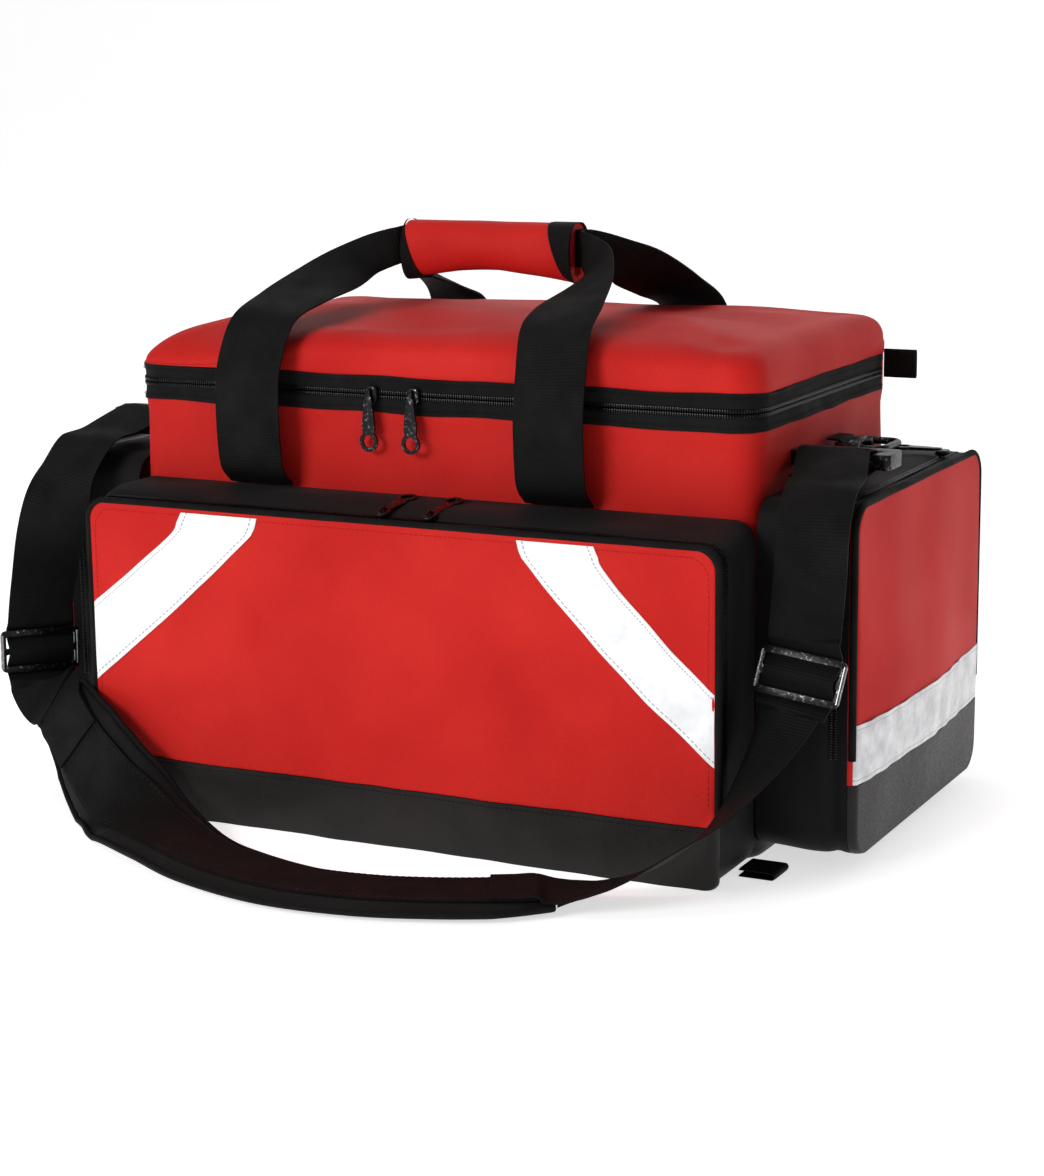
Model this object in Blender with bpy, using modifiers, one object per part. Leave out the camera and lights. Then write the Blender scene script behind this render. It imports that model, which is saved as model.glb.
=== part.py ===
"""Trauma bag: a padded duffel with a zipped lid, a front pocket and two end pockets.

The bag stands on the XY plane. X runs along its length, -Y is its front, Z is up.
The origin is the middle of the bag's base. All sizes are in metres.
"""

import math

import bmesh
import bpy
import numpy as np
from mathutils import Matrix, Vector

# Main compartment
BODY_LENGTH = 0.470
BODY_DEPTH = 0.260
ZIP_HEIGHT = 0.294
BASE_HEIGHT = 0.041
WALL = 0.006
BODY_CORNER = 0.022
BOARD_THICKNESS = 0.003
GAP = 0.0003

# Zip round the lid
TAPE_WIDTH = 0.0115
ZIP_PARTING = 0.001
TAPE_THICKNESS = 0.003
TAB_LENGTH = 0.024
TAB_HEIGHT = 0.020
TAB_THICKNESS = 0.0036
TAB_INSET = 0.004
TAB_SHARE_BELOW = 0.3

# Lid
LID_SIDE = 0.010
LID_CROWN = 0.036
LID_THICKNESS = 0.005

# Front pocket
POCKET_DEPTH = 0.0625
POCKET_HEIGHT = 0.219
POCKET_TOP_RISE = 0.008
POCKET_CORNER = 0.014
GUSSET_WALL = 0.004
PANEL_THICKNESS = 0.005
POCKET_FOOT = 0.006

# End pockets
END_POCKET_DEPTH = 0.076
END_POCKET_HALF = 0.1287
END_POCKET_BOTTOM = 0.011
END_POCKET_TOP = 0.239
END_BASE_TOP = 0.060
END_CORNER = 0.018
END_CROWN = 0.008

# Reflective tape
FRONT_TAPE_WIDTH = 0.050
FRONT_TAPE_INNER_TOP = 0.098
FRONT_TAPE_INNER_EDGE = 0.086
FRONT_TAPE_BEND = 0.014
END_TAPE_WIDTH = 0.039
REFLECTIVE_THICKNESS = 0.0008

# Carrying handles
WEB_WIDTH = 0.050
WEB_THICKNESS = 0.0024
HANDLE_CENTER_X = -0.015
FRONT_WEB_HALF_SPACING = 0.114
REAR_WEB_HALF_SPACING = 0.105
WEB_ANCHOR_RISE = 0.002
WEB_STANDOFF = 0.016
WEB_BEND_RISE = 0.018
GRIP_LENGTH = 0.130
GRIP_HALF_DEPTH = 0.017
GRIP_CLEARANCE = 0.0177
GRIP_HEIGHT = 0.041
GRIP_ARCH = 0.007
GRIP_WALL = 0.006
BAR_HEIGHT = 0.026
BAR_OFFSET = 0.0026

# Zip sliders and pulls
SLIDER_LENGTH = 0.012
SLIDER_WIDTH = 0.009
SLIDER_THICKNESS = 0.0055
PULL_LENGTH = 0.034
PULL_WIDTH = 0.011
PULL_THICKNESS = 0.0024
PULL_HOLE = 0.0034
MAIN_SLIDERS_X = (-0.041, -0.009)
FRONT_SLIDERS_X = (-0.008, 0.027)
END_SLIDER_Y = 0.085
END_SLIDER_INSET = 0.010
FRONT_SLIDER_INSET = 0.0085

# Shoulder strap hardware
RING_CLEARANCE = 0.019
RING_WIRE = 0.0025
RING_STANDOFF = 0.009
RING_REACH = 0.005
RING_CORNER = 0.009
RING_FRONT_Y = -0.012
RING_BACK_Y = 0.026
HOOK_INSET = 0.013
HOOK_INNER = 0.0056
HOOK_OUTER = 0.0096
HOOK_SLOT = 0.014
HOOK_THICKNESS = 0.007
SHANK_LENGTH = 0.010
SHANK_WIDTH = 0.009
COLLAR_LENGTH = 0.005
COLLAR_SINK = 0.0004
EYE_BAR = 0.0034
EYE_OPENING = 0.007
GLIDE_BAR = 0.0044
GLIDE_SLOT = 0.0085
GLIDE_THICKNESS = 0.0024
STRAP_WIDTH = 0.048
STRAP_THICKNESS = 0.0020
STRAP_CLEARANCE = 0.0010
HARDWARE_CLEARANCE = 0.0016
RIGHT_GLIDE_SHARE = 0.531
LEFT_GLIDE_SHARE = 0.388
PAD_WIDTH = 0.068
PAD_THICKNESS = 0.010
PAD_END_WIDTH = 0.72

# Lash loops
LOOP_WIDTH = 0.025
LOOP_THICKNESS = 0.0055

# Worked out from the sizes above
HALF_LENGTH = BODY_LENGTH / 2
HALF_DEPTH = BODY_DEPTH / 2
POCKET_FRONT = -(HALF_DEPTH + POCKET_DEPTH)
SHELL_TOP = ZIP_HEIGHT - ZIP_PARTING / 2 - TAPE_WIDTH + GAP
LID_BOTTOM = ZIP_HEIGHT + ZIP_PARTING / 2 + TAPE_WIDTH + GAP
LID_TOP = LID_BOTTOM + LID_CROWN
END_OUT = HALF_LENGTH + END_POCKET_DEPTH
END_EDGE = END_OUT - END_CROWN
WEB_ANCHOR_HEIGHT = POCKET_HEIGHT + POCKET_TOP_RISE + WEB_ANCHOR_RISE
WEB_BEND_HEIGHT = ZIP_HEIGHT + WEB_BEND_RISE
HANDLE_WALL = HALF_DEPTH + 0.004
HANDLE_FOLD_Y = -(HALF_DEPTH + WEB_STANDOFF)
GRIP_BOTTOM = LID_TOP + GRIP_CLEARANCE
GRIP_TOP = GRIP_BOTTOM + GRIP_HEIGHT
RING_HEIGHT = END_POCKET_TOP + RING_CLEARANCE
RING_BAR_X = HALF_LENGTH + RING_STANDOFF
EYE_HALF = STRAP_WIDTH / 2 + HARDWARE_CLEARANCE + EYE_BAR
RING_OUT_X = RING_BAR_X + EYE_HALF + RING_REACH
HOOK_X = RING_OUT_X - HOOK_INSET
SHANK_END_Y = RING_FRONT_Y - (HOOK_SLOT + HOOK_OUTER + SHANK_LENGTH)
EYE_DEPTH = EYE_OPENING / 2 + EYE_BAR
EYE_Y = SHANK_END_Y - GAP - COLLAR_LENGTH - EYE_DEPTH + COLLAR_SINK
STRAP_BAR_Y = EYE_Y - EYE_OPENING / 2 - EYE_BAR / 2


def new_collection(name):
    collection = bpy.data.collections.new(name)
    bpy.context.scene.collection.children.link(collection)
    return collection


def clear_scene():
    for obj in list(bpy.data.objects):
        bpy.data.objects.remove(obj, do_unlink=True)


clear_scene()
PARTS = new_collection("Trauma bag")
CUTTERS = new_collection("Cutters")


def material(name, color, roughness, metallic=0.0):
    made = bpy.data.materials.new(name)
    made.use_nodes = True
    shader = made.node_tree.nodes["Principled BSDF"]
    shader.inputs["Base Color"].default_value = (*color, 1.0)
    shader.inputs["Roughness"].default_value = roughness
    shader.inputs["Metallic"].default_value = metallic
    return made


RED = ("red nylon", (0.56, 0.020, 0.016), 0.75)
BLACK_WEB = ("black webbing", (0.012, 0.011, 0.011), 0.85)
VINYL = ("black vinyl", (0.018, 0.016, 0.014), 0.45)
TAPE = ("zip tape", (0.020, 0.018, 0.019), 0.80)
REFLECTIVE = ("reflective tape", (0.85, 0.85, 0.86), 0.30)
METAL = ("black metal", (0.045, 0.045, 0.048), 0.35, 0.9)
BOARD = ("stiffener board", (0.06, 0.06, 0.06), 0.7)


def finish(obj, name, look, collection=None):
    """Names an object, gives it its own material and files it in its collection."""
    obj.name = name
    obj.data.name = name
    for old in list(obj.users_collection):
        old.objects.unlink(obj)
    (collection or PARTS).objects.link(obj)
    if look:
        label, *values = look
        obj.data.materials.clear()
        obj.data.materials.append(material(f"{name} {label}", *values))
    return obj


def box(name, low, high, look, bevel=0.0, segments=2):
    """A cube primitive stretched between two corners, with its edges rounded."""
    low, high = Vector(low), Vector(high)
    bpy.ops.mesh.primitive_cube_add(size=1.0)
    obj = bpy.context.object
    size = high - low
    obj.data.transform(Matrix.Diagonal((*size, 1.0)))
    obj.location = (low + high) / 2
    if bevel:
        edge = obj.modifiers.new("rounded edges", "BEVEL")
        edge.width = min(bevel, 0.45 * min(size))
        edge.segments = segments
        edge.limit_method = "NONE"
    return finish(obj, name, look)


def rounded_outline(left, right, low, high, radii, steps=4):
    """Corner points of a rectangle whose corners are arcs, anticlockwise from the lower left.

    radii gives the lower left, lower right, upper right and upper left radius.
    """
    corners = ((left, low), (right, low), (right, high), (left, high))
    inward = ((1, 1), (-1, 1), (-1, -1), (1, -1))
    points = []
    for k, ((x, y), (dx, dy), radius) in enumerate(zip(corners, inward, radii)):
        start = math.pi + k * math.pi / 2
        for i in range(steps + 1):
            angle = start + i * math.pi / 2 / steps
            points.append(
                (
                    x + dx * radius + radius * math.cos(angle),
                    y + dy * radius + radius * math.sin(angle),
                )
            )
    return points


def plate(name, outlines, thickness, look, turn=(0, 0, 0), at=(0, 0, 0)):
    """A flat outline, with holes for any further outlines, as a filled 2D curve of some thickness."""
    curve = bpy.data.curves.new(name, "CURVE")
    curve.dimensions = "2D"
    curve.fill_mode = "BOTH"
    curve.extrude = thickness / 2
    for outline in outlines:
        spline = curve.splines.new("POLY")
        spline.points.add(len(outline) - 1)
        for point, (x, y) in zip(spline.points, outline):
            point.co = (x, y, 0.0, 1.0)
        spline.use_cyclic_u = True
    obj = bpy.data.objects.new(name, curve)
    bpy.context.scene.collection.objects.link(obj)
    obj.rotation_euler = turn
    obj.location = at
    return finish(obj, name, look)


def made_mesh(obj):
    """The same object as a mesh with welded caps, so that a Boolean can use it."""
    bpy.context.view_layer.update()
    graph = bpy.context.evaluated_depsgraph_get()
    mesh = bpy.data.meshes.new_from_object(obj.evaluated_get(graph))
    shape = bmesh.new()
    shape.from_mesh(mesh)
    bmesh.ops.remove_doubles(shape, verts=shape.verts, dist=1e-6)
    shape.to_mesh(mesh)
    shape.free()
    solid = bpy.data.objects.new(obj.name + " solid", mesh)
    solid.matrix_world = obj.matrix_world
    name = obj.name
    bpy.data.objects.remove(obj, do_unlink=True)
    PARTS.objects.link(solid)
    solid.name = name
    return solid


def joined(obj, other):
    """Unites another object's solid with obj, and keeps the other as a hidden helper."""
    union = obj.modifiers.new("join", "BOOLEAN")
    union.operation = "UNION"
    union.object = other
    hide(other)
    return obj


def cut(obj, cutter):
    """Cuts the cutter's solid out of obj."""
    difference = obj.modifiers.new("cut", "BOOLEAN")
    difference.operation = "DIFFERENCE"
    difference.object = cutter
    hide(cutter)
    return obj


def hide(helper):
    finish(helper, helper.name, None, CUTTERS)
    helper.hide_render = True
    helper.display_type = "WIRE"


def loft(name, rings, look, closed=False):
    """Skins a run of equal rings. A closed run joins its last ring to its first; an open one is capped."""
    shape = bmesh.new()
    made = [[shape.verts.new(point) for point in ring] for ring in rings]
    pairs = list(zip(made, made[1:]))
    if closed:
        pairs.append((made[-1], made[0]))
    for first, second in pairs:
        for i in range(len(first)):
            j = (i + 1) % len(first)
            shape.faces.new((first[i], first[j], second[j], second[i]))
    if not closed:
        shape.faces.new(made[0][::-1])
        shape.faces.new(made[-1])
    bmesh.ops.recalc_face_normals(shape, faces=shape.faces)
    mesh = bpy.data.meshes.new(name)
    shape.to_mesh(mesh)
    shape.free()
    obj = bpy.data.objects.new(name, mesh)
    bpy.context.scene.collection.objects.link(obj)
    return finish(obj, name, look)


def placed_at(obj, pivot):
    """Moves an object's origin to a joint's axis and leaves its shape where it is."""
    bpy.context.view_layer.update()
    pivot = Vector(pivot)
    turn = obj.matrix_world.to_3x3().inverted().to_4x4()
    offset = turn @ (obj.location - pivot)
    obj.data.transform(Matrix.Translation(offset))
    obj.location = pivot
    return obj


def smooth_path(points, count):
    """Evenly counted points on a Catmull-Rom curve through rows of numbers."""
    points = np.asarray(points, float)
    padded = np.vstack([2 * points[0] - points[1], points, 2 * points[-1] - points[-2]])
    places = np.linspace(0, len(points) - 1, count)
    made = []
    for place in places:
        k = min(int(place), len(points) - 2)
        t = place - k
        before, start, end, after = padded[k : k + 4]
        made.append(
            0.5
            * (
                2 * start
                + (end - before) * t
                + (2 * before - 5 * start + 4 * end - after) * t**2
                + (3 * start - before - 3 * end + after) * t**3
            )
        )
    return np.array(made)


def frames_along(path, across):
    """Unit tangents, width directions and normals of a band that follows a path."""
    tangent = np.gradient(path, axis=0)
    tangent /= np.linalg.norm(tangent, axis=1)[:, None]
    across = across - tangent * np.sum(across * tangent, axis=1)[:, None]
    across /= np.linalg.norm(across, axis=1)[:, None]
    return tangent, across, np.cross(tangent, across)


def webbing(name, points, across, width, thickness, look, count=28, widths=None):
    """A flat band along a smooth path. across gives the direction of its width at each point."""
    path = smooth_path(points, count)
    turned = smooth_path(across, count)
    _, side, normal = frames_along(path, turned)
    full = np.full(count, width)
    if widths is not None:
        full = smooth_path([[w, 0, 0] for w in widths], count)[:, 0]
    rings = []
    for center, s, n, w in zip(path, side, normal, full):
        a, b = s * w / 2, n * thickness / 2
        rings.append([center - a - b, center + a - b, center + a + b, center - a + b])
    return loft(name, rings, look)


# Main compartment


def body_outline(inset=0.0, steps=4):
    radius = max(BODY_CORNER - inset, 0.002)
    x, y = HALF_LENGTH - inset, HALF_DEPTH - inset
    return rounded_outline(-x, x, -y, y, (radius,) * 4, steps)


def upright_ring(name, low, high, wall, look):
    middle, height = (low + high) / 2, high - low
    return plate(name, (body_outline(), body_outline(wall)), height, look, at=(0, 0, middle))


def base_boot():
    """The vinyl base is a low tray: a solid block with the inside cut out."""
    block = plate(
        "base_boot",
        (body_outline(),),
        BASE_HEIGHT,
        VINYL,
        at=(0, 0, BASE_HEIGHT / 2),
    )
    boot = made_mesh(block)
    hollow = plate(
        "base hollow",
        (body_outline(WALL),),
        BASE_HEIGHT,
        None,
        at=(0, 0, BASE_HEIGHT / 2 + WALL),
    )
    return cut(boot, made_mesh(hollow))


def bottom_board():
    inset = WALL + 0.002
    low = WALL + GAP
    board = (body_outline(inset),)
    middle = low + BOARD_THICKNESS / 2
    return plate("bottom_board", board, BOARD_THICKNESS, BOARD, at=(0, 0, middle))


def u_band(name, low, high, look):
    """A zip tape that runs round the front and both ends, open at the back."""
    outer = body_outline()
    inner = body_outline(TAPE_THICKNESS)
    front = len(outer) // 2
    end_y = HALF_DEPTH - BODY_CORNER
    outer_run = [(-HALF_LENGTH, end_y)] + outer[:front] + [(HALF_LENGTH, end_y)]
    edge = HALF_LENGTH - TAPE_THICKNESS
    inner_run = [(-edge, end_y)] + inner[:front] + [(edge, end_y)]
    outline = outer_run + inner_run[::-1]
    return plate(name, (outline,), high - low, look, at=(0, 0, (low + high) / 2))


def rear_band(name, low, high):
    """The red fabric between body and lid across the back, round both back corners."""
    outer = body_outline()
    inner = body_outline(TAPE_THICKNESS)
    front = len(outer) // 2
    end_y = HALF_DEPTH - BODY_CORNER + 2 * GAP
    outline = (
        [(HALF_LENGTH, end_y)]
        + outer[front + 1 : -1]
        + [(-HALF_LENGTH, end_y), (-HALF_LENGTH + TAPE_THICKNESS, end_y)]
        + inner[front + 1 : -1][::-1]
        + [(HALF_LENGTH - TAPE_THICKNESS, end_y)]
    )
    return plate(name, (outline,), high - low, RED, at=(0, 0, (low + high) / 2))


def main_compartment():
    base_boot()
    bottom_board()
    upright_ring("main_shell", BASE_HEIGHT + GAP, SHELL_TOP - GAP, WALL, RED)
    low = SHELL_TOP
    high = ZIP_HEIGHT - ZIP_PARTING / 2
    u_band("zip_tape_lower", low, high, TAPE)
    rear_band("rear_band_lower", low, high)


def lid():
    """A shallow dome: stacked outlines that shrink towards the crown, thickened inwards."""
    pivot = (0, HALF_DEPTH, ZIP_HEIGHT)
    side_top = LID_BOTTOM + LID_SIDE
    steps = ((0.0, LID_BOTTOM), (0.0005, side_top - 0.003))
    steps += tuple(
        (
            0.004 + 0.112 * (1 - math.cos(t * math.pi / 2)),
            side_top + (LID_CROWN - LID_SIDE) * math.sin(t * math.pi / 2) ** 0.8,
        )
        for t in np.linspace(0.12, 1.0, 6)
    )
    shape = bmesh.new()
    rings = []
    for inset, z in steps:
        outline = body_outline(inset, steps=4)
        rings.append([shape.verts.new((x, y, z)) for x, y in outline])
    for first, second in zip(rings, rings[1:]):
        for i in range(len(first)):
            j = (i + 1) % len(first)
            shape.faces.new((first[i], first[j], second[j], second[i]))
    shape.faces.new(rings[-1])
    bmesh.ops.recalc_face_normals(shape, faces=shape.faces)
    mesh = bpy.data.meshes.new("lid_shell")
    shape.to_mesh(mesh)
    shape.free()
    shell = bpy.data.objects.new("lid_shell", mesh)
    bpy.context.scene.collection.objects.link(shell)
    wall = shell.modifiers.new("padded wall", "SOLIDIFY")
    wall.thickness = LID_THICKNESS
    wall.offset = -1.0
    placed_at(finish(shell, "lid_shell", RED), pivot)
    low = ZIP_HEIGHT + ZIP_PARTING / 2
    high = LID_BOTTOM - GAP
    placed_at(u_band("zip_tape_upper", low, high, TAPE), pivot)
    placed_at(rear_band("rear_band_upper", low, high), pivot)


# Pockets


def pocket_ring(inset, top, low=0.0):
    """One loop of the front pocket in the XZ plane, as (x, z)."""
    x = HALF_LENGTH - inset
    upper = max(POCKET_CORNER - inset, 0.002)
    lower = max(POCKET_FOOT - inset, 0.001)
    return rounded_outline(-x, x, low + inset, top - inset, (lower, lower, upper, upper))


def front_pocket():
    front_y = POCKET_FRONT + PANEL_THICKNESS + GAP
    back_y = -(HALF_DEPTH + GAP)
    rings = []
    for inset, y, rise in (
        (0.0, front_y, 0.0),
        (0.0, back_y, POCKET_TOP_RISE),
        (GUSSET_WALL, back_y, POCKET_TOP_RISE),
        (GUSSET_WALL, front_y, 0.0),
    ):
        outline = pocket_ring(inset, POCKET_HEIGHT + rise)
        rings.append([(x, y, z) for x, z in outline])
    loft("front_gusset", rings, VINYL, closed=True)

    middle_y = POCKET_FRONT + PANEL_THICKNESS / 2
    upright = (math.pi / 2, 0, 0)
    band = rounded_outline(
        -HALF_LENGTH, HALF_LENGTH, 0.0, BASE_HEIGHT, (POCKET_FOOT, POCKET_FOOT, 0.0005, 0.0005)
    )
    plate("front_base_band", (band,), PANEL_THICKNESS, VINYL, upright, (0, middle_y, 0))

    low = BASE_HEIGHT + GAP
    corners = (0.0005, 0.0005, POCKET_CORNER, POCKET_CORNER)
    sheet = rounded_outline(-HALF_LENGTH, HALF_LENGTH, low, POCKET_HEIGHT, corners)
    panel = plate("front_panel", (sheet,), PANEL_THICKNESS, RED, upright, (0, middle_y, 0))
    pivot = (0, POCKET_FRONT, low)
    placed_at(panel, pivot)
    for side, label in ((-1, "left"), (1, "right")):
        placed_at(front_stripe(side, label), pivot)


def front_stripe(side, label):
    """A reflective band that leaves the panel's top, bends outwards and runs down to its end."""
    top = POCKET_HEIGHT - 0.004
    edge = HALF_LENGTH - 0.0015
    reach = FRONT_TAPE_WIDTH * math.sqrt(2)
    inner_top, inner_edge = FRONT_TAPE_INNER_TOP, FRONT_TAPE_INNER_EDGE
    slope_start = top - FRONT_TAPE_BEND
    inner = [(inner_top, top), (inner_top + 0.004, slope_start + 0.006)]
    inner += [(inner_top + 0.012, slope_start - 0.004), (edge, inner_edge)]
    outer = [(edge, inner_edge + 0.86 * reach)]
    outer += [(inner_top + FRONT_TAPE_WIDTH + 0.012, slope_start + 0.002)]
    outer += [(inner_top + FRONT_TAPE_WIDTH + 0.003, top)]
    outline = [(side * x, z) for x, z in inner + outer]
    y = POCKET_FRONT - GAP - REFLECTIVE_THICKNESS / 2
    return plate(
        f"front_stripe_{label}",
        (outline,),
        REFLECTIVE_THICKNESS,
        REFLECTIVE,
        (math.pi / 2, 0, 0),
        (0, y, 0),
    )


def end_half_width(z):
    """Half the end pocket's width at a height, narrower in its rounded corners."""
    lift = min(z - END_POCKET_BOTTOM, END_POCKET_TOP - z, END_CORNER)
    return END_POCKET_HALF - END_CORNER + math.sqrt(
        max(END_CORNER**2 - (END_CORNER - lift) ** 2, 0.0)
    )


def end_bulge(y, z):
    """How far the filled pocket's outer face stands proud of its edge."""
    height = END_POCKET_TOP - END_POCKET_BOTTOM
    across = 1 - (y / END_POCKET_HALF) ** 2
    up = math.sin(math.pi * (z - END_POCKET_BOTTOM) / height)
    return END_CROWN * max(across, 0.0) * max(up, 0.0)


def end_sheet(name, side, low, high, inner, thickness, look, trim=0.0):
    """A curved sheet on the end pocket's outer face, between two heights."""
    rows = 9
    rings = []
    for z in np.linspace(low, high, 8):
        half = end_half_width(min(max(z, low), high)) - trim
        ys = np.linspace(-half, half, rows)
        outside = [END_EDGE + end_bulge(y, z) + inner + thickness for y in ys]
        inside = [x - thickness for x in outside]
        ring = [(side * x, y, z) for x, y in zip(outside, ys)]
        ring += [(side * x, y, z) for x, y in zip(inside[::-1], ys[::-1])]
        rings.append(ring)
    return loft(name, rings, look)


def end_pocket(side, label):
    inner_x = side * (HALF_LENGTH + GAP)
    outer_x = side * (END_EDGE - PANEL_THICKNESS - GAP)
    rings = []
    for inset, x in (
        (0.0, inner_x),
        (0.0, outer_x),
        (GUSSET_WALL, outer_x),
        (GUSSET_WALL, inner_x),
    ):
        half = END_POCKET_HALF - inset
        outline = rounded_outline(
            -half,
            half,
            END_POCKET_BOTTOM + inset,
            END_POCKET_TOP - inset,
            (END_CORNER - inset,) * 4,
        )
        rings.append([(x, y, z) for y, z in outline])
    loft(f"end_gusset_{label}", rings, VINYL, closed=True)

    under = -PANEL_THICKNESS
    tiny = 0.0015
    low, seam, high = END_POCKET_BOTTOM + tiny, END_BASE_TOP, END_POCKET_TOP - tiny
    name = f"end_base_{label}"
    end_sheet(name, side, low, seam, under, PANEL_THICKNESS, VINYL)
    pivot = (side * (END_EDGE + end_bulge(0, seam)), 0, seam + GAP)
    name = f"end_panel_{label}"
    panel = end_sheet(name, side, seam + GAP, high, under, PANEL_THICKNESS, RED)
    placed_at(panel, pivot)
    name = f"end_stripe_{label}"
    low = seam + 2 * GAP
    stripe = end_sheet(
        name, side, low, low + END_TAPE_WIDTH, GAP, REFLECTIVE_THICKNESS, REFLECTIVE, 0.001
    )
    placed_at(stripe, pivot)


# Zip sliders


def pull_outline():
    """A tapered tongue with a round end, hanging down from z = 0, as (x, z)."""
    radius = PULL_WIDTH / 2
    neck = 0.0028
    tip = -(PULL_LENGTH - radius)
    arc = [
        (radius * math.cos(a), tip + radius * math.sin(a))
        for a in np.linspace(math.pi, 2 * math.pi, 9)
    ]
    return [(-neck, 0.001)] + arc + [(neck, 0.001)]


def pull_hole():
    tip = -(PULL_LENGTH - PULL_WIDTH / 2)
    return [
        (PULL_HOLE * math.cos(a), tip + PULL_HOLE * math.sin(a))
        for a in np.linspace(0, 2 * math.pi, 12, endpoint=False)
    ]


def main_zip_slider(x, label):
    face = -(HALF_DEPTH + GAP)
    front = face - SLIDER_THICKNESS
    low = ZIP_HEIGHT - SLIDER_LENGTH / 2
    corners = ((x - SLIDER_WIDTH / 2, front, low), (x + SLIDER_WIDTH / 2, face, low + SLIDER_LENGTH))
    box(f"main_slider_{label}", *corners, METAL, 0.0015)
    hang = ZIP_HEIGHT - 0.002
    y = front - 2 * GAP - PULL_THICKNESS / 2
    pull = plate(
        f"main_pull_{label}",
        (pull_outline(), pull_hole()),
        PULL_THICKNESS,
        METAL,
        (math.pi / 2, 0, 0),
        (x, y, hang),
    )
    return placed_at(pull, (x, y, hang))


def front_zip_slider(x, label):
    """A slider on the pocket's sloping top, whose pull lies back on that slope."""
    slope = math.atan2(POCKET_TOP_RISE, POCKET_DEPTH - PANEL_THICKNESS)
    y = POCKET_FRONT + PANEL_THICKNESS + FRONT_SLIDER_INSET
    z = POCKET_HEIGHT + (y - POCKET_FRONT) * math.tan(slope) + 0.0006
    body = box(
        f"front_slider_{label}",
        (-SLIDER_WIDTH / 2, -SLIDER_LENGTH / 2, 0),
        (SLIDER_WIDTH / 2, SLIDER_LENGTH / 2, SLIDER_THICKNESS - 0.001),
        METAL,
        0.0015,
    )
    body.data.transform(Matrix.Translation(body.location))
    body.location = (x, y, z)
    body.rotation_euler = (slope, 0, 0)
    hinge = Vector((x, y + SLIDER_LENGTH / 2 + 0.0014, 0))
    hinge.z = POCKET_HEIGHT + (hinge.y - POCKET_FRONT) * math.tan(slope) + 0.0022
    plate(
        f"front_pull_{label}",
        (pull_outline(), pull_hole()),
        PULL_THICKNESS - 0.0004,
        METAL,
        (math.pi + slope, 0, 0),
        hinge,
    )


def end_zip_slider(side, label):
    """A slider on top of the end pocket, with its pull lying inwards."""
    x = side * (END_EDGE - PANEL_THICKNESS - END_SLIDER_INSET)
    low = END_POCKET_TOP + GAP
    corners = (x - SLIDER_WIDTH / 2, END_SLIDER_Y - SLIDER_LENGTH / 2, low)
    opposite = (x + SLIDER_WIDTH / 2, END_SLIDER_Y + SLIDER_LENGTH / 2, low + 0.0046)
    body = box(f"end_slider_{label}", corners, opposite, METAL, 0.0012)
    tongue = plate(
        f"end tongue {label}",
        (pull_outline(), pull_hole()),
        0.002,
        METAL,
        (0, 0, -side * math.pi / 2),
        (x - side * 0.002, END_SLIDER_Y, low + 0.0024),
    )
    joined(body, made_mesh(tongue))


def zip_tab(side, label):
    """The web tab at the zip's end, on the lid beside its back corner.

    It stands off by what the corner needs when the lid turns with the tab.
    """
    front, back = HALF_DEPTH - TAB_INSET - TAB_THICKNESS, HALF_DEPTH - TAB_INSET
    below = TAB_HEIGHT * TAB_SHARE_BELOW
    swept = math.hypot(HALF_DEPTH - front, below)
    corner = math.sqrt(BODY_CORNER**2 - (BODY_CORNER - swept) ** 2)
    near = HALF_LENGTH - BODY_CORNER + corner + 2 * GAP
    xs = sorted((side * near, side * (near + TAB_LENGTH)))
    low = (xs[0], front, ZIP_HEIGHT - below)
    high = (xs[1], back, ZIP_HEIGHT - below + TAB_HEIGHT)
    tab = box(f"zip_tab_{label}", low, high, BLACK_WEB, 0.001)
    tab.data.transform(Matrix.Translation(tab.location - Vector((0, HALF_DEPTH, ZIP_HEIGHT))))
    tab.location = (0, HALF_DEPTH, ZIP_HEIGHT)


# Carrying handles


def handle_bar(y, half_spacing, fold):
    """Path, width directions and widths of a handle web, from one fold through the grip to the other.

    fold lists the (y, z) points of the rising part, from its lowest point to the grip.
    """
    grip_z = (GRIP_BOTTOM + GRIP_TOP) / 2 + GRIP_ARCH / 2
    reach = GRIP_LENGTH / 2
    rising, widths = [], []
    steps = len(fold)
    for i, (fy, fz) in enumerate(fold):
        share = (i / steps) ** 1.4
        x = half_spacing + (reach + GRIP_HALF_DEPTH - half_spacing) * share
        rising.append((-x, fy, fz))
        lean = (i / steps) ** 3 * math.pi / 2
        widths.append((math.cos(lean), 0.0, -math.sin(lean)))
    mouth = reach + 0.003
    inside = [(x, y, grip_z) for x in (-mouth, -reach / 2, 0.0, reach / 2, mouth)]
    turn_in = (mouth + 0.006, 3.2 * y, grip_z - 0.001)
    inside = [(-turn_in[0], *turn_in[1:])] + inside + [turn_in]
    points = rising + inside + [(-px, py, pz) for px, py, pz in rising[::-1]]
    across = widths + [(0, 0, -1)] * len(inside) + [(-wx, wy, wz) for wx, wy, wz in widths[::-1]]
    narrow = [WEB_WIDTH] * steps
    narrow[-1] = BAR_HEIGHT + 0.004
    narrow[-2] = (WEB_WIDTH + BAR_HEIGHT) / 2 + 0.006
    full = narrow + [BAR_HEIGHT] * len(inside) + narrow[::-1]
    points = [(px + HANDLE_CENTER_X, py, pz) for px, py, pz in points]
    return points, across, full


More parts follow.
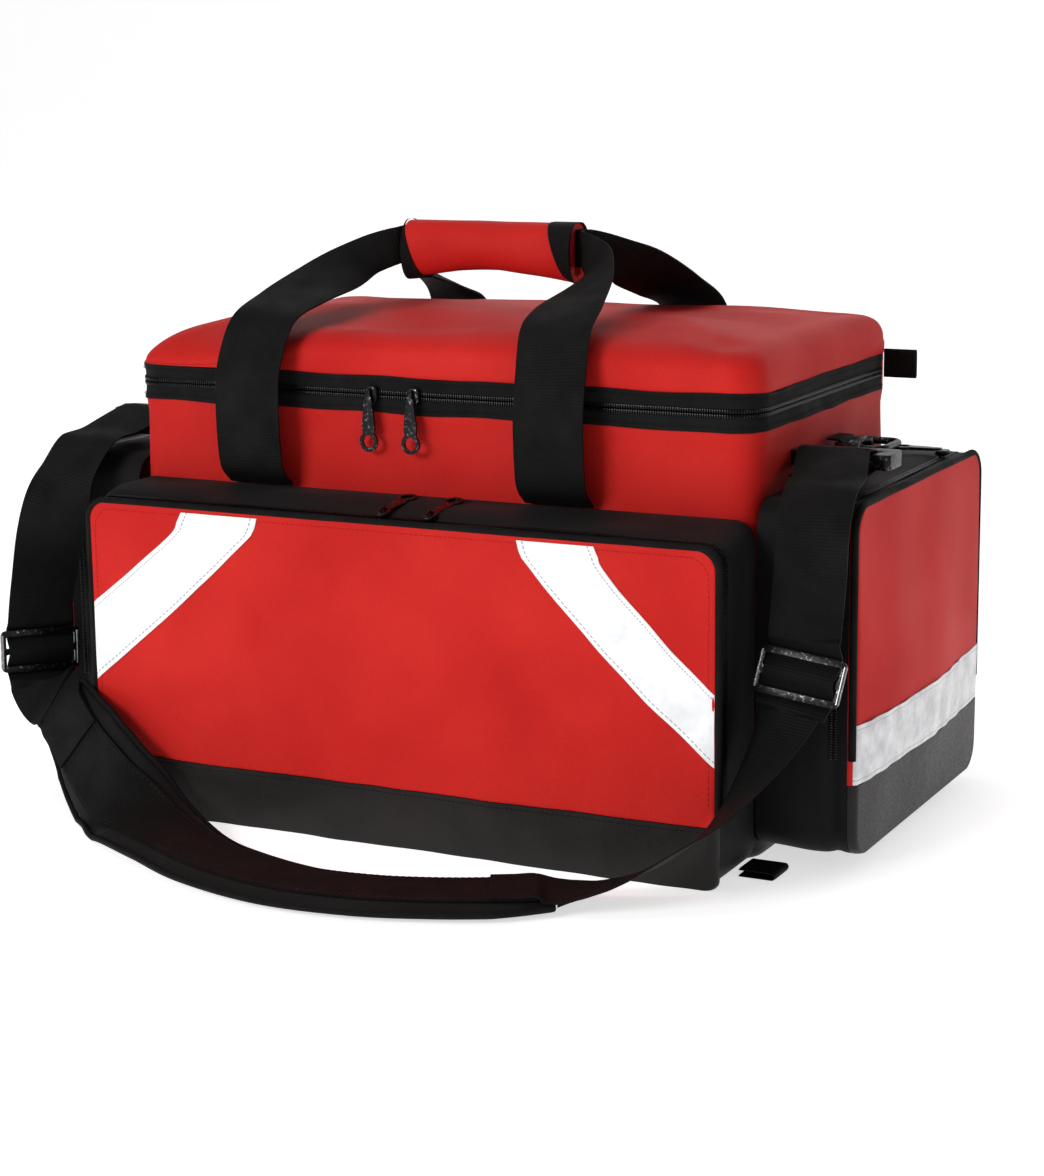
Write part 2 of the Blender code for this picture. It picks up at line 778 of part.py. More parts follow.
def front_lower_web(side, label):
    """The part of a front web between the pocket's seam and its bend beside the zip."""
    x = HANDLE_CENTER_X + side * FRONT_WEB_HALF_SPACING
    wall = -HANDLE_WALL
    out = HANDLE_FOLD_Y - 0.003
    points = [
        (x, wall, WEB_ANCHOR_HEIGHT),
        (x, (wall + out) / 2 - 0.004, WEB_ANCHOR_HEIGHT + 0.011),
        (x, out, WEB_ANCHOR_HEIGHT + 0.028),
        (x, out - 0.001, WEB_BEND_HEIGHT - 0.025),
        (x, HANDLE_FOLD_Y, WEB_BEND_HEIGHT - 0.0025),
    ]
    across = [(1, 0, 0)] * len(points)
    name = f"front_web_{label}"
    web = webbing(name, points, across, WEB_WIDTH, WEB_THICKNESS, BLACK_WEB, 12)
    return placed_at(web, (0, wall, WEB_ANCHOR_HEIGHT))


def front_handle():
    for side, label in ((-1, "left"), (1, "right")):
        front_lower_web(side, label)
    pivot = (0, HANDLE_FOLD_Y, WEB_BEND_HEIGHT)
    fold = [
        (HANDLE_FOLD_Y + 0.0005, WEB_BEND_HEIGHT + 0.0025),
        (-(HALF_DEPTH + 0.001), WEB_BEND_HEIGHT + 0.029),
        (-0.77 * HALF_DEPTH, LID_TOP + 0.0117),
        (-0.46 * HALF_DEPTH, LID_TOP + 0.0227),
        (-(GRIP_HALF_DEPTH + 0.007), LID_TOP + 0.0337),
    ]
    points, across, widths = handle_bar(-BAR_OFFSET, FRONT_WEB_HALF_SPACING, fold)
    name = "front_handle_web"
    web = webbing(name, points, across, WEB_WIDTH, WEB_THICKNESS, BLACK_WEB, 56, widths)
    placed_at(web, pivot)
    placed_at(grip_half(-1, "grip_front"), pivot)


def rear_handle():
    wall = HANDLE_WALL
    pivot = (0, wall, WEB_ANCHOR_HEIGHT)
    fold = [
        (wall, WEB_ANCHOR_HEIGHT),
        (wall + 0.009, WEB_ANCHOR_HEIGHT + 0.030),
        (wall + 0.009, WEB_BEND_HEIGHT - 0.012),
        (wall - 0.006, WEB_BEND_HEIGHT + 0.022),
        (0.69 * HALF_DEPTH, LID_TOP + 0.0087),
        (0.385 * HALF_DEPTH, LID_TOP + 0.0237),
        (GRIP_HALF_DEPTH + 0.007, LID_TOP + 0.0337),
    ]
    points, across, widths = handle_bar(BAR_OFFSET, REAR_WEB_HALF_SPACING, fold)
    name = "rear_handle_web"
    web = webbing(name, points, across, WEB_WIDTH, WEB_THICKNESS, BLACK_WEB, 68, widths)
    placed_at(web, pivot)
    placed_at(grip_half(1, "grip_rear"), pivot)
    for side, label in ((-1, "left"), (1, "right")):
        x = HANDLE_CENTER_X + side * REAR_WEB_HALF_SPACING
        face = HALF_DEPTH + GAP
        low = (x - WEB_WIDTH / 2, face, 0.004)
        high = (x + WEB_WIDTH / 2, face + WEB_THICKNESS, WEB_ANCHOR_HEIGHT - 0.003)
        box(f"rear_web_anchor_{label}", low, high, BLACK_WEB, 0.0006, 1)


def grip_half(side, name):
    """Half of the padded wrap: a half-round channel along X with an arched underside."""
    rings = []
    middle = (GRIP_BOTTOM + GRIP_TOP) / 2
    slot = BAR_HEIGHT / 2 + 0.0012
    bar_z = middle + GRIP_ARCH / 2
    for x in np.linspace(-GRIP_LENGTH / 2, GRIP_LENGTH / 2, 9):
        arch = GRIP_ARCH * (1 - (2 * x / GRIP_LENGTH) ** 2)
        low, high = GRIP_BOTTOM + arch, GRIP_TOP
        half, center = (high - low) / 2, (high + low) / 2
        outer = [
            (side * GRIP_HALF_DEPTH * math.cos(a) ** 0.7, center + half * math.sin(a))
            for a in np.linspace(-math.pi / 2, math.pi / 2, 11)[1:-1]
        ]
        edge = side * GAP
        deep = side * (GRIP_WALL - 0.001)
        ring = [(edge, low)] + outer + [(edge, high)]
        ring += [(edge, bar_z + slot), (deep, bar_z + slot)]
        ring += [(deep, bar_z - slot), (edge, bar_z - slot)]
        rings.append([(HANDLE_CENTER_X + x, y, z) for y, z in ring])
    return loft(name, rings, RED)


# Shoulder strap


def d_ring(side, label):
    """A wire ring whose straight bar lies along the end wall, held by a web tab."""
    curve = bpy.data.curves.new("ring", "CURVE")
    curve.dimensions = "3D"
    curve.bevel_depth = RING_WIRE
    curve.bevel_resolution = 2
    curve.use_fill_caps = True
    radii = (0.004, RING_CORNER, RING_CORNER, 0.004)
    outline = rounded_outline(RING_BAR_X, RING_OUT_X, RING_FRONT_Y, RING_BACK_Y, radii, 3)
    spline = curve.splines.new("POLY")
    spline.points.add(len(outline) - 1)
    for point, (x, y) in zip(spline.points, outline):
        point.co = (side * x, y, RING_HEIGHT, 1.0)
    spline.use_cyclic_u = True
    obj = bpy.data.objects.new("ring", curve)
    bpy.context.scene.collection.objects.link(obj)
    finish(obj, f"d_ring_{label}", METAL)

    near = HALF_LENGTH + GAP
    far = RING_BAR_X + RING_WIRE + 0.0030
    xs = sorted((side * near, side * far))
    middle = (RING_FRONT_Y + RING_BACK_Y) / 2
    half = (RING_BACK_Y - RING_FRONT_Y) / 2 - 0.0052
    low = (xs[0], middle - half, RING_HEIGHT - 0.016)
    high = (xs[1], middle + half, RING_HEIGHT + 0.0060)
    tab = box(f"d_ring_tab_{label}", low, high, BLACK_WEB, 0.0018)
    clear = RING_WIRE + 2 * GAP
    circle = [
        (clear * math.cos(a), clear * math.sin(a))
        for a in np.linspace(0, 2 * math.pi, 12, endpoint=False)
    ]
    slot = plate(
        f"ring slot {label}",
        (circle,),
        2 * (RING_BACK_Y - RING_FRONT_Y),
        None,
        (math.pi / 2, 0, 0),
        (side * RING_BAR_X, middle, RING_HEIGHT),
    )
    cut(tab, made_mesh(slot))


def slot_outline(radius, length):
    """A stadium round the ring's leg, from the nose back along -Y, as (y, z) from the leg's axis."""
    nose = [
        (radius * math.cos(a), radius * math.sin(a))
        for a in np.linspace(-math.pi / 2, math.pi / 2, 9)
    ]
    back = [
        (-length + radius * math.cos(a), radius * math.sin(a))
        for a in np.linspace(math.pi / 2, 3 * math.pi / 2, 9)
    ]
    return nose + back


def snap_hook(side, label):
    """Hook body with its shank, its gate and the swivel eye that holds the strap."""
    y0, z0 = RING_FRONT_Y, RING_HEIGHT
    x = side * HOOK_X
    body = plate(
        f"hook_body_{label}",
        (slot_outline(HOOK_OUTER, HOOK_SLOT), slot_outline(HOOK_INNER, HOOK_SLOT)),
        HOOK_THICKNESS,
        METAL,
        (math.pi / 2, 0, math.pi / 2),
        (x, y0, z0),
    )
    body = made_mesh(body)
    rear = -(HOOK_SLOT + HOOK_OUTER - 0.0015)
    half = SHANK_WIDTH / 2
    shank = box(
        f"shank {label}",
        (x - half, SHANK_END_Y, z0 - half),
        (x + half, y0 + rear, z0 + half),
        None,
    )
    joined(body, shank)
    gap_low = (x - HOOK_THICKNESS, y0 - HOOK_SLOT + 0.0010, z0 + HOOK_INNER - 0.0015)
    gap_high = (x + HOOK_THICKNESS, y0 - 0.0010, z0 + HOOK_OUTER + 0.002)
    cut(body, box(f"gate gap {label}", gap_low, gap_high, None))
    gate = box(
        f"hook_gate_{label}",
        (x - HOOK_THICKNESS / 2 + 0.001, y0 - HOOK_SLOT + 0.0013, z0 + HOOK_INNER + 0.0002),
        (x + HOOK_THICKNESS / 2 - 0.001, y0 - 0.0014, z0 + HOOK_OUTER - 0.0006),
        METAL,
        0.0006,
        1,
    )
    placed_at(gate, (x, y0 - HOOK_SLOT + 0.0025, z0 + HOOK_INNER + 0.0017))
    swivel_eye(side, label)


def swivel_eye(side, label):
    """A rectangular loop for the strap, on a round collar behind the hook's shank."""
    x = side * HOOK_X
    half = EYE_HALF - EYE_BAR
    depth = EYE_OPENING / 2
    inner = rounded_outline(-half, half, -depth, depth, (0.002,) * 4, 2)
    outer = rounded_outline(-EYE_HALF, EYE_HALF, -EYE_DEPTH, EYE_DEPTH, (0.004,) * 4, 2)
    name = f"swivel_eye_{label}"
    eye = plate(name, (outer, inner), EYE_BAR, METAL, (0, 0, 0), (x, EYE_Y, RING_HEIGHT))
    eye = made_mesh(eye)
    bpy.ops.mesh.primitive_cylinder_add(vertices=16, radius=0.0050, depth=COLLAR_LENGTH)
    collar = bpy.context.object
    collar.data.transform(Matrix.Rotation(math.pi / 2, 4, "X"))
    collar.location = (x, SHANK_END_Y - GAP - COLLAR_LENGTH / 2, RING_HEIGHT)
    joined(eye, finish(collar, f"collar {label}", None))


def tri_glide(name, center, tangent, side):
    """A three-bar slide that lies across the strap."""
    half = STRAP_WIDTH / 2 + HARDWARE_CLEARANCE
    wide = half + GLIDE_BAR * 0.8
    tall = GLIDE_BAR * 1.5 + GLIDE_SLOT
    outer = rounded_outline(-wide, wide, -tall, tall, (0.003,) * 4, 2)
    holes = []
    for way in (-1, 1):
        low, high = sorted((way * GLIDE_BAR / 2, way * (GLIDE_BAR / 2 + GLIDE_SLOT)))
        holes.append(rounded_outline(-half, half, low, high, (0.001,) * 4, 1))
    obj = plate(name, (outer, *holes), GLIDE_THICKNESS, METAL)
    turn = Matrix((side, tangent, np.cross(side, tangent))).transposed().to_4x4()
    obj.matrix_world = Matrix.Translation(center) @ turn
    return obj


def strap_side(side, label, run, across, glide_height):
    """One web: round the swivel eye's bar, over the end pocket and down to the pad.

    The web weaves over and under the bars of its slide, which lies on it at the height given.
    """
    x = side * HOOK_X
    clear = EYE_BAR / 2 + STRAP_THICKNESS / 2 + STRAP_CLEARANCE
    bend = 0.75 * clear
    y, z = STRAP_BAR_Y, RING_HEIGHT
    loop = [
        (x, y - 0.030, z - clear - 0.0010),
        (x, y - 0.012, z - clear - 0.0006),
        (x, y - 0.001, z - clear),
        (x, y + bend, z - bend),
        (x, y + clear, z),
        (x, y + bend, z + bend),
        (x, y - 0.001, z + clear),
        (x, y - 0.012, z + clear - 0.0002),
    ]
    count = 84
    path = smooth_path(loop + run, count)
    sides = smooth_path([(1, 0, 0)] * len(loop) + across, count)
    tangent, width, normal = frames_along(path, sides)
    length = np.r_[0, np.cumsum(np.linalg.norm(np.diff(path, axis=0), axis=1))]
    off_glide = np.where(path[:, 1] < -END_POCKET_HALF, np.abs(path[:, 2] - glide_height), np.inf)
    k = int(np.argmin(off_glide))
    center, along, out = path[k].copy(), tangent[k].copy(), normal[k].copy()
    across_glide = width[k].copy()
    weave = (GLIDE_THICKNESS + STRAP_THICKNESS) / 2 + STRAP_CLEARANCE
    pitch = GLIDE_BAR + GLIDE_SLOT
    reach = 1.8 * pitch
    spots = np.union1d(length, length[k] + np.arange(-reach, reach, pitch / 8))
    spots = spots[(spots >= 0) & (spots <= length[-1])]

    def resampled(rows):
        return np.stack([np.interp(spots, length, rows[:, c]) for c in range(3)], axis=1)

    path, width = resampled(path), resampled(width)
    away = spots - length[k]
    near = np.abs(away) < reach
    shift = weave * np.cos(np.pi * away / pitch)
    blend = np.clip((reach - np.abs(away)) / (0.5 * pitch), 0, 1)
    target = center + away[:, None] * along + out * shift[:, None]
    path = np.where(near[:, None], path + (target - path) * blend[:, None], path)
    width = np.where(near[:, None], across_glide, width)
    _, width, normal = frames_along(path, width)
    rings = []
    for p, s, n in zip(path, width, normal):
        a, b = s * STRAP_WIDTH / 2, n * STRAP_THICKNESS / 2
        rings.append([p - a - b, p + a - b, p + a + b, p - a + b])
    loft(f"strap_web_{label}", rings, BLACK_WEB)
    tri_glide(f"tri_glide_{label}", center, along, across_glide)


def shoulder_pad(points, across):
    """A long pad with rounded edges that lies on the floor and climbs at its left end."""
    count = 30
    path = smooth_path(points, count)
    turned = smooth_path(across, count)
    _, side, normal = frames_along(path, turned)
    rings = []
    for i, (p, s, n) in enumerate(zip(path, side, normal)):
        share = i / (count - 1)
        taper = min(1.0, PAD_END_WIDTH + 2.6 * min(share, 1 - share))
        half, thick = PAD_WIDTH * taper / 2, PAD_THICKNESS / 2
        ring = []
        for a in np.linspace(0, 2 * math.pi, 14, endpoint=False):
            c, d = math.cos(a), math.sin(a)
            u = math.copysign(abs(c) ** 0.4, c) * half
            v = math.copysign(abs(d) ** 0.7, d) * thick
            ring.append(p + s * u + n * v)
        rings.append(ring)
    return loft("shoulder_pad", rings, BLACK_WEB)


def beside_hook(side, out, forward, height):
    """A point out from the hook and forward of the end pocket's front, at a share of the ring's height."""
    return side * (HOOK_X + out), -(END_POCKET_HALF + forward), RING_HEIGHT * height


def beside_pocket(side, out, forward, height):
    """A point out from the bag's end and forward of the pocket's face, each counted from half a strap away."""
    half = STRAP_WIDTH / 2
    return side * (HALF_LENGTH + half + out), POCKET_FRONT - half - forward, height


def before_pocket(share, forward, height):
    """A point at a share of the bag's half length, forward of the front pocket as beside_pocket's are."""
    return share * HALF_LENGTH, POCKET_FRONT - STRAP_WIDTH / 2 - forward, height


def shoulder_strap():
    """Both snap hooks, both webs and the pad. Each web climbs from the pad past its slide to its hook."""
    for side, label in ((-1, "left"), (1, "right")):
        d_ring(side, label)
        snap_hook(side, label)
    right = [
        beside_hook(1, 0.009, -0.0247, 0.984),
        beside_hook(1, 0.013, 0.0013, 0.964),
        beside_hook(1, 0.015, 0.0193, 0.884),
        beside_hook(1, 0.015, 0.0233, 0.775),
        beside_hook(1, 0.013, 0.0253, 0.651),
        beside_hook(1, 0.011, 0.0283, RIGHT_GLIDE_SHARE),
        beside_pocket(1, 0.010, -0.0405, 0.100),
        beside_pocket(1, -0.007, -0.0085, 0.063),
        beside_pocket(1, -0.033, 0.0115, 0.036),
        beside_pocket(1, -0.069, 0.0295, 0.016),
        beside_pocket(1, -0.101, 0.0403, 0.0082),
    ]
    right_across = [(1, 0, 0)] * 6
    right_across += [
        (0.85, -0.50, 0.05),
        (0.50, -0.84, 0.12),
        (0.42, -0.78, 0.40),
        (0.50, -0.80, 0.25),
        (0.52, -0.85, 0.02),
    ]
    strap_side(1, "right", right, right_across, RING_HEIGHT * RIGHT_GLIDE_SHARE)
    left = [
        beside_hook(-1, 0.009, -0.0247, 0.984),
        beside_hook(-1, 0.013, 0.0013, 0.964),
        beside_hook(-1, 0.019, 0.0193, 0.876),
        beside_hook(-1, 0.027, 0.0253, 0.760),
        beside_hook(-1, 0.034, 0.0293, 0.620),
        beside_hook(-1, 0.039, 0.0313, 0.484),
        beside_hook(-1, 0.039, 0.0333, 0.357),
        beside_hook(-1, 0.033, 0.0393, 0.295),
        beside_pocket(-1, 0.026, -0.0385, 0.071),
        beside_pocket(-1, 0.013, -0.0290, 0.0756),
    ]
    left_across = [(1, 0, 0)] * 3
    left_across += [
        (0.86, 0.50, 0.0),
        (0.60, 0.80, 0.0),
        (0.55, 0.83, 0.10),
        (0.55, 0.80, 0.20),
        (0.55, 0.60, 0.60),
        (0.56, 0.35, 0.75),
        (0.60, 0.14, 0.78),
    ]
    strap_side(-1, "left", left, left_across, RING_HEIGHT * LEFT_GLIDE_SHARE)
    pad = [
        beside_pocket(-1, 0.003, -0.0235, 0.0700),
        beside_pocket(-1, -0.022, -0.0090, 0.0520),
        beside_pocket(-1, -0.044, 0.0020, 0.0350),
        beside_pocket(-1, -0.066, 0.0125, 0.0215),
        beside_pocket(-1, -0.095, 0.0265, 0.0110),
        before_pocket(-0.506, 0.0515, 0.0056),
        before_pocket(-0.298, 0.0755, 0.0052),
        before_pocket(-0.043, 0.0905, 0.0052),
        before_pocket(0.187, 0.0870, 0.0052),
        before_pocket(0.374, 0.0735, 0.0052),
        beside_pocket(1, -0.134, 0.0565, 0.0054),
        beside_pocket(1, -0.107, 0.0425, 0.0060),
    ]
    pad_across = [
        (0.60, 0.12, 0.78),
        (0.59, 0.06, 0.80),
        (0.52, 0.26, 0.78),
        (0.38, 0.52, 0.72),
        (0.28, 0.93, 0.25),
        (0.36, 0.93, 0.0),
        (0.30, 0.95, 0.0),
        (0.08, 1.0, 0.0),
        (-0.18, 0.98, 0.0),
        (-0.36, 0.93, 0.0),
        (-0.44, 0.90, 0.0),
        (-0.50, 0.86, 0.0),
    ]
    shoulder_pad(pad, pad_across)


def lash_loop(side, label):
    """A short folded web loop at the foot of a front corner, between the pockets."""
    near = HALF_LENGTH + 2 * GAP
    xs = sorted((side * near, side * (near + LOOP_WIDTH)))
    back = -(HALF_DEPTH + 0.0025)
    low = (xs[0], back - LOOP_WIDTH, 0.0)
    box(f"lash_loop_{label}", low, (xs[1], back, LOOP_THICKNESS), BLACK_WEB, 0.0015)


def build():
    main_compartment()
    lid()
    front_pocket()
    front_handle()
    rear_handle()
    shoulder_strap()
    for x, label in zip(MAIN_SLIDERS_X, ("left", "right")):
        main_zip_slider(x, label)
    for x, label in zip(FRONT_SLIDERS_X, ("left", "right")):
        front_zip_slider(x, label)
    for side, label in ((-1, "left"), (1, "right")):
        end_pocket(side, label)
        end_zip_slider(side, label)
        zip_tab(side, label)
        lash_loop(side, label)


build()
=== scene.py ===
"""Looks of the trauma bag: padded nylon walls, webbing, zips, reflective tape and metal hardware.

Sizes are in metres in the frame's own axes: X along the bag, -Y its front, Z up.
Every surface is a function of two parameters, worked out as whole arrays.
"""

import math

import bmesh
import bpy
import numpy as np
from mathutils import Matrix, Vector


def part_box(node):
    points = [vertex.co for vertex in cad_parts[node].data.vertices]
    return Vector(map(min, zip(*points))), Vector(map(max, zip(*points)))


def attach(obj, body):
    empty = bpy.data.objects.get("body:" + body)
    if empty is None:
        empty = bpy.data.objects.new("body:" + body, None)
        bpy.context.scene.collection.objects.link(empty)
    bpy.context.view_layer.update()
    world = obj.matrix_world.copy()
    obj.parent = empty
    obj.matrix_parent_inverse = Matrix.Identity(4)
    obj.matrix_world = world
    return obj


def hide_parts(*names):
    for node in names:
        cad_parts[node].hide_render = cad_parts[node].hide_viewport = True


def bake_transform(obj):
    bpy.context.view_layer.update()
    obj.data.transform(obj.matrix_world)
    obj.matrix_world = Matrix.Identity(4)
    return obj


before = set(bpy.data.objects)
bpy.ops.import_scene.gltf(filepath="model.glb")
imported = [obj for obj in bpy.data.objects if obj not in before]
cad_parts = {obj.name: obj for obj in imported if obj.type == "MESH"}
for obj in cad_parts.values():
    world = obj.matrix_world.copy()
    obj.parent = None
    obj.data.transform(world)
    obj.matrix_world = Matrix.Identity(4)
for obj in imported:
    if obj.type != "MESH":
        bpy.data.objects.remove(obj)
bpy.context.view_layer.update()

SIDES = ((-1, "left"), (1, "right"))
X, Y, Z = np.eye(3)


def corners(node):
    low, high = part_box(node)
    return np.array(low), np.array(high)


# Places read from the frame
SHELL_LOW, SHELL_HIGH = corners("main_shell")
HALF_LENGTH, HALF_DEPTH = SHELL_HIGH[0], SHELL_HIGH[1]
TAPE_LOW, TAPE_HIGH = corners("zip_tape_lower")
TAPE_END = TAPE_HIGH[1]
ZIP_HEIGHT = (TAPE_HIGH[2] + corners("zip_tape_upper")[0][2]) / 2
LID_LOW, LID_HIGH = corners("lid_shell")
BASE_HIGH = corners("base_boot")[1]
GUSSET_LOW, GUSSET_HIGH = corners("front_gusset")
PANEL_LOW, PANEL_HIGH = corners("front_panel")
POCKET_FRONT = PANEL_LOW[1]
END_LOW, END_HIGH = corners("end_gusset_right")
END_PANEL_LOW, END_PANEL_HIGH = corners("end_panel_right")
GRIP_LOW, GRIP_HIGH = corners("grip_front")
RING_LOW, RING_HIGH = corners("d_ring_right")
EYE_LOW, EYE_HIGH = corners("swivel_eye_right")
HOOK_SHANK_END = corners("hook_body_right")[0][1]

# Sizes of the cloth and webbing
BODY_CORNER = 0.022
WALL = 0.006
WEB_WIDTH = 0.050
WEB_THICKNESS = 0.0024
STRAP_WIDTH = 0.048
STRAP_THICKNESS = 0.0020
HANDLE_CENTER_X = (GRIP_LOW[0] + GRIP_HIGH[0]) / 2
FRONT_WEB_SPACING = 0.114
REAR_WEB_SPACING = 0.105
WEB_STANDOFF = 0.016


# Surfaces

SHARP_ANGLE = math.radians(50)
BEVEL_ANGLE = math.radians(35)
CAST_EDGE, PLATE_EDGE, GLIDE_EDGE, HOOK_EDGE = 0.0011, 0.0005, 0.0007, 0.0014


def linked(name, data):
    """A new object in the scene."""
    obj = bpy.data.objects.new(name, data)
    bpy.context.scene.collection.objects.link(obj)
    return obj


def mesh_of(name, points, faces):
    mesh = bpy.data.meshes.new(name)
    mesh.from_pydata(points.reshape(-1, 3).tolist(), [], faces)
    return mesh


def finished(name, mesh):
    """A smooth closed piece with its faces turned outwards."""
    obj = linked(name, mesh)
    outwards(obj)
    smooth(mesh)
    return obj


def unit(vectors):
    """The same directions, each with a length of one."""
    return vectors / np.linalg.norm(vectors, axis=-1)[..., None]


def square_to(vectors, axes):
    """Unit vectors with what they share with the axes taken out."""
    return unit(vectors - axes * np.sum(vectors * axes, axis=1)[:, None])


def sampled(spots, run, rows):
    """Rows of numbers read off at other distances along their run."""
    return np.stack([np.interp(spots, run, column) for column in rows.T], axis=-1)


def positions(obj):
    flat = np.empty(len(obj.data.vertices) * 3)
    obj.data.vertices.foreach_get("co", flat)
    return flat.reshape(-1, 3)


def stacked(*parts):
    """Arrays side by side in a new last direction."""
    return np.stack(np.broadcast_arrays(*parts), axis=-1)


def raised(outline, z):
    """An outline repeated at each height, a row for each."""
    return np.concatenate([np.broadcast_to(outline, (len(z), *outline.shape)),
                           np.broadcast_to(z[:, None, None], (len(z), len(outline), 1))], axis=-1)


def above(line, normal, height):
    """The part of a closed outline above a height, from one end to the other, with its normals."""
    keep = line[:, 1] > height
    start = int(np.argmax(~keep))
    line, normal, keep = (np.roll(a, -start, axis=0) for a in (line, normal, keep))
    return line[keep], normal[keep]


def rolled_edge(inward, radius):
    """How far a sheet's rim falls back at a distance in from its edge: a quarter round, then nothing."""
    inward = np.minimum(inward, radius)
    return radius - np.sqrt(np.maximum(radius**2 - (radius - inward) ** 2, 0))


def grid(name, points, uv=None, wrap_rows=False, wrap_columns=False, caps=False):
    """A mesh of quads between neighbouring points of a grid of rows and columns.

    A wrapped direction joins its last points to its first. Caps close the first and last rows.
    """
    rows, columns = points.shape[:2]
    i = np.arange(rows if wrap_rows else rows - 1)[:, None]
    j = np.arange(columns if wrap_columns else columns - 1)[None, :]
    up, along = (i + 1) % rows, (j + 1) % columns
    quads = stacked(i * columns + j, i * columns + along,
                                         up * columns + along, up * columns + j)
    faces = quads.reshape(-1, 4).tolist()
    if caps:
        faces += [list(range(columns))[::-1], list(range((rows - 1) * columns, rows * columns))]
    mesh = mesh_of(name, points, faces)
    if uv is not None:
        layer = mesh.uv_layers.new(name="cloth")
        padded = uv
        if wrap_columns:
            step = uv[:, -1:] - uv[:, -2:-1]
            padded = np.concatenate([padded, padded[:, -1:] + step], axis=1)
        if wrap_rows:
            step = padded[-1:] - padded[-2:-1]
            padded = np.concatenate([padded, padded[-1:] + step], axis=0)
        around_quad = padded[i, j], padded[i, j + 1], padded[i + 1, j + 1], padded[i + 1, j]
        flat = np.stack(np.broadcast_arrays(*around_quad), axis=2).reshape(-1, 2)
        flat = np.concatenate([flat, np.tile(flat[:1], (2 * columns if caps else 0, 1))])
        layer.data.foreach_set("uv", flat.astype(np.float32).ravel())
    return finished(name, mesh)


def smooth(mesh):
    """Smooth shading with hard edges where faces meet at more than the sharp angle."""
    mesh.shade_smooth()
    mesh.set_sharp_from_angle(angle=SHARP_ANGLE)


def outwards(obj):
    """Merges coinciding points and turns every face of a closed shape outwards."""
    shape = bmesh.new()
    shape.from_mesh(obj.data)
    bmesh.ops.remove_doubles(shape, verts=shape.verts, dist=1e-6)
    bmesh.ops.dissolve_degenerate(shape, edges=shape.edges, dist=1e-7)
    bmesh.ops.recalc_face_normals(shape, faces=shape.faces)
    shape.to_mesh(obj.data)
    shape.free()


def dress(obj, body, slot, finish, *nodes):
    """Gives a piece its finish and the body it rides on, and hides the CAD nodes it stands for. Its slot is
    not used.
    """
    obj.name = obj.data.name = obj.name.replace(" ", "_")
    obj.data.materials.clear()
    obj.data.materials.append(finish)
    if body:
        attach(obj, body)
    if nodes:
        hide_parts(*nodes)
    return obj


def folds(points, size, seed):
    """Smooth cloth unevenness: a mean of cosine waves of about one size in mixed directions."""
    count = 9
    rng = np.random.default_rng(seed)
    directions = unit(rng.normal(size=(count, 3)))
    lengths = size * rng.uniform(0.7, 1.6, count)
    phase = rng.uniform(0, 2 * math.pi, count)
    waves = points @ (directions * (2 * math.pi / lengths)[:, None]).T + phase
    return np.cos(waves).sum(axis=-1) / math.sqrt(count)


def smooth_step(value, low, high):
    t = np.clip((value - low) / (high - low), 0, 1)
    return t * t * (3 - 2 * t)


def arc(x, y, radius, angles):
    """Points at the given angles round a center."""
    return list(zip(x + radius * np.cos(angles), y + radius * np.sin(angles)))


def around(half_x, half_y, radius, count):
    """Evenly spaced points and outward normals round a rounded rectangle.

    They start at the middle of its +Y edge and run anticlockwise. Also gives the distance run.
    """
    radius = min(radius, half_x, half_y)
    turn = np.linspace(0, math.pi / 2, 17)
    line = [(0.0, half_y)]
    for k, (sx, sy) in enumerate(((-1, 1), (-1, -1), (1, -1), (1, 1))):
        angles = math.pi / 2 * (k + 1) + turn
        line += arc(sx * (half_x - radius), sy * (half_y - radius), radius, angles)
    line = np.array(line + [(0.0, half_y)])
    run = np.r_[0, np.cumsum(np.linalg.norm(np.diff(line, axis=0), axis=1))]
    spots = np.linspace(0, run[-1], count, endpoint=False)
    x, y = np.interp(spots, run, line[:, 0]), np.interp(spots, run, line[:, 1])
    tangent = stacked(np.roll(x, -1) - np.roll(x, 1), np.roll(y, -1) - np.roll(y, 1))
    tangent /= np.maximum(np.linalg.norm(tangent, axis=1), 1e-9)[:, None]
    normal = stacked(tangent[:, 1], -tangent[:, 0])
    return stacked(x, y), normal, spots


def smooth_path(points, count):
    """Evenly counted points on a Catmull-Rom curve through rows of numbers."""
    points = np.asarray(points, float)
    ends = np.vstack([2 * points[0] - points[1], points, 2 * points[-1] - points[-2]])
    places = np.linspace(0, len(points) - 1, count)
    k = np.minimum(places.astype(int), len(points) - 2)
    t = (places - k)[:, None]
    before, start, end, after = ends[k], ends[k + 1], ends[k + 2], ends[k + 3]
    return 0.5 * (2 * start + (end - before) * t
                  + (2 * before - 5 * start + 4 * end - after) * t**2
                  + (3 * start - before - 3 * end + after) * t**3)


def frames_along(path, across):
    """Unit tangents, width directions and normals of a band that follows a path."""
    tangent = unit(np.gradient(path, axis=0))
    across = square_to(across, tangent)
    return tangent, across, np.cross(tangent, across)


def run_of(path):
    return np.r_[0, np.cumsum(np.linalg.norm(np.diff(path, axis=0), axis=1))]


def band(name, path, side, normal, width, thickness, columns=9):
    """Webbing along a path: a flat profile with rounded, slightly thicker edges, closed at both ends."""
    u = np.linspace(-1, 1, columns)
    bead = 1 + 0.25 * smooth_step(np.abs(u), 0.80, 0.90) - 0.7 * smooth_step(np.abs(u), 0.93, 1.0)
    across = np.r_[u, u[::-1]]
    lift = np.r_[bead, -bead[::-1]] * thickness / 2
    width = np.broadcast_to(np.asarray(width, float), (len(path),))
    points = (path[:, None] + side[:, None] * (across[None, :, None] * width[:, None, None] / 2)
              + normal[:, None] * lift[None, :, None])
    run = run_of(path)
    v = np.broadcast_to(run[:, None], points.shape[:2])
    flat = (across[None, :] + 1) / 2 * width[:, None]
    return grid(name, points, stacked(flat, v), wrap_columns=True, caps=True)


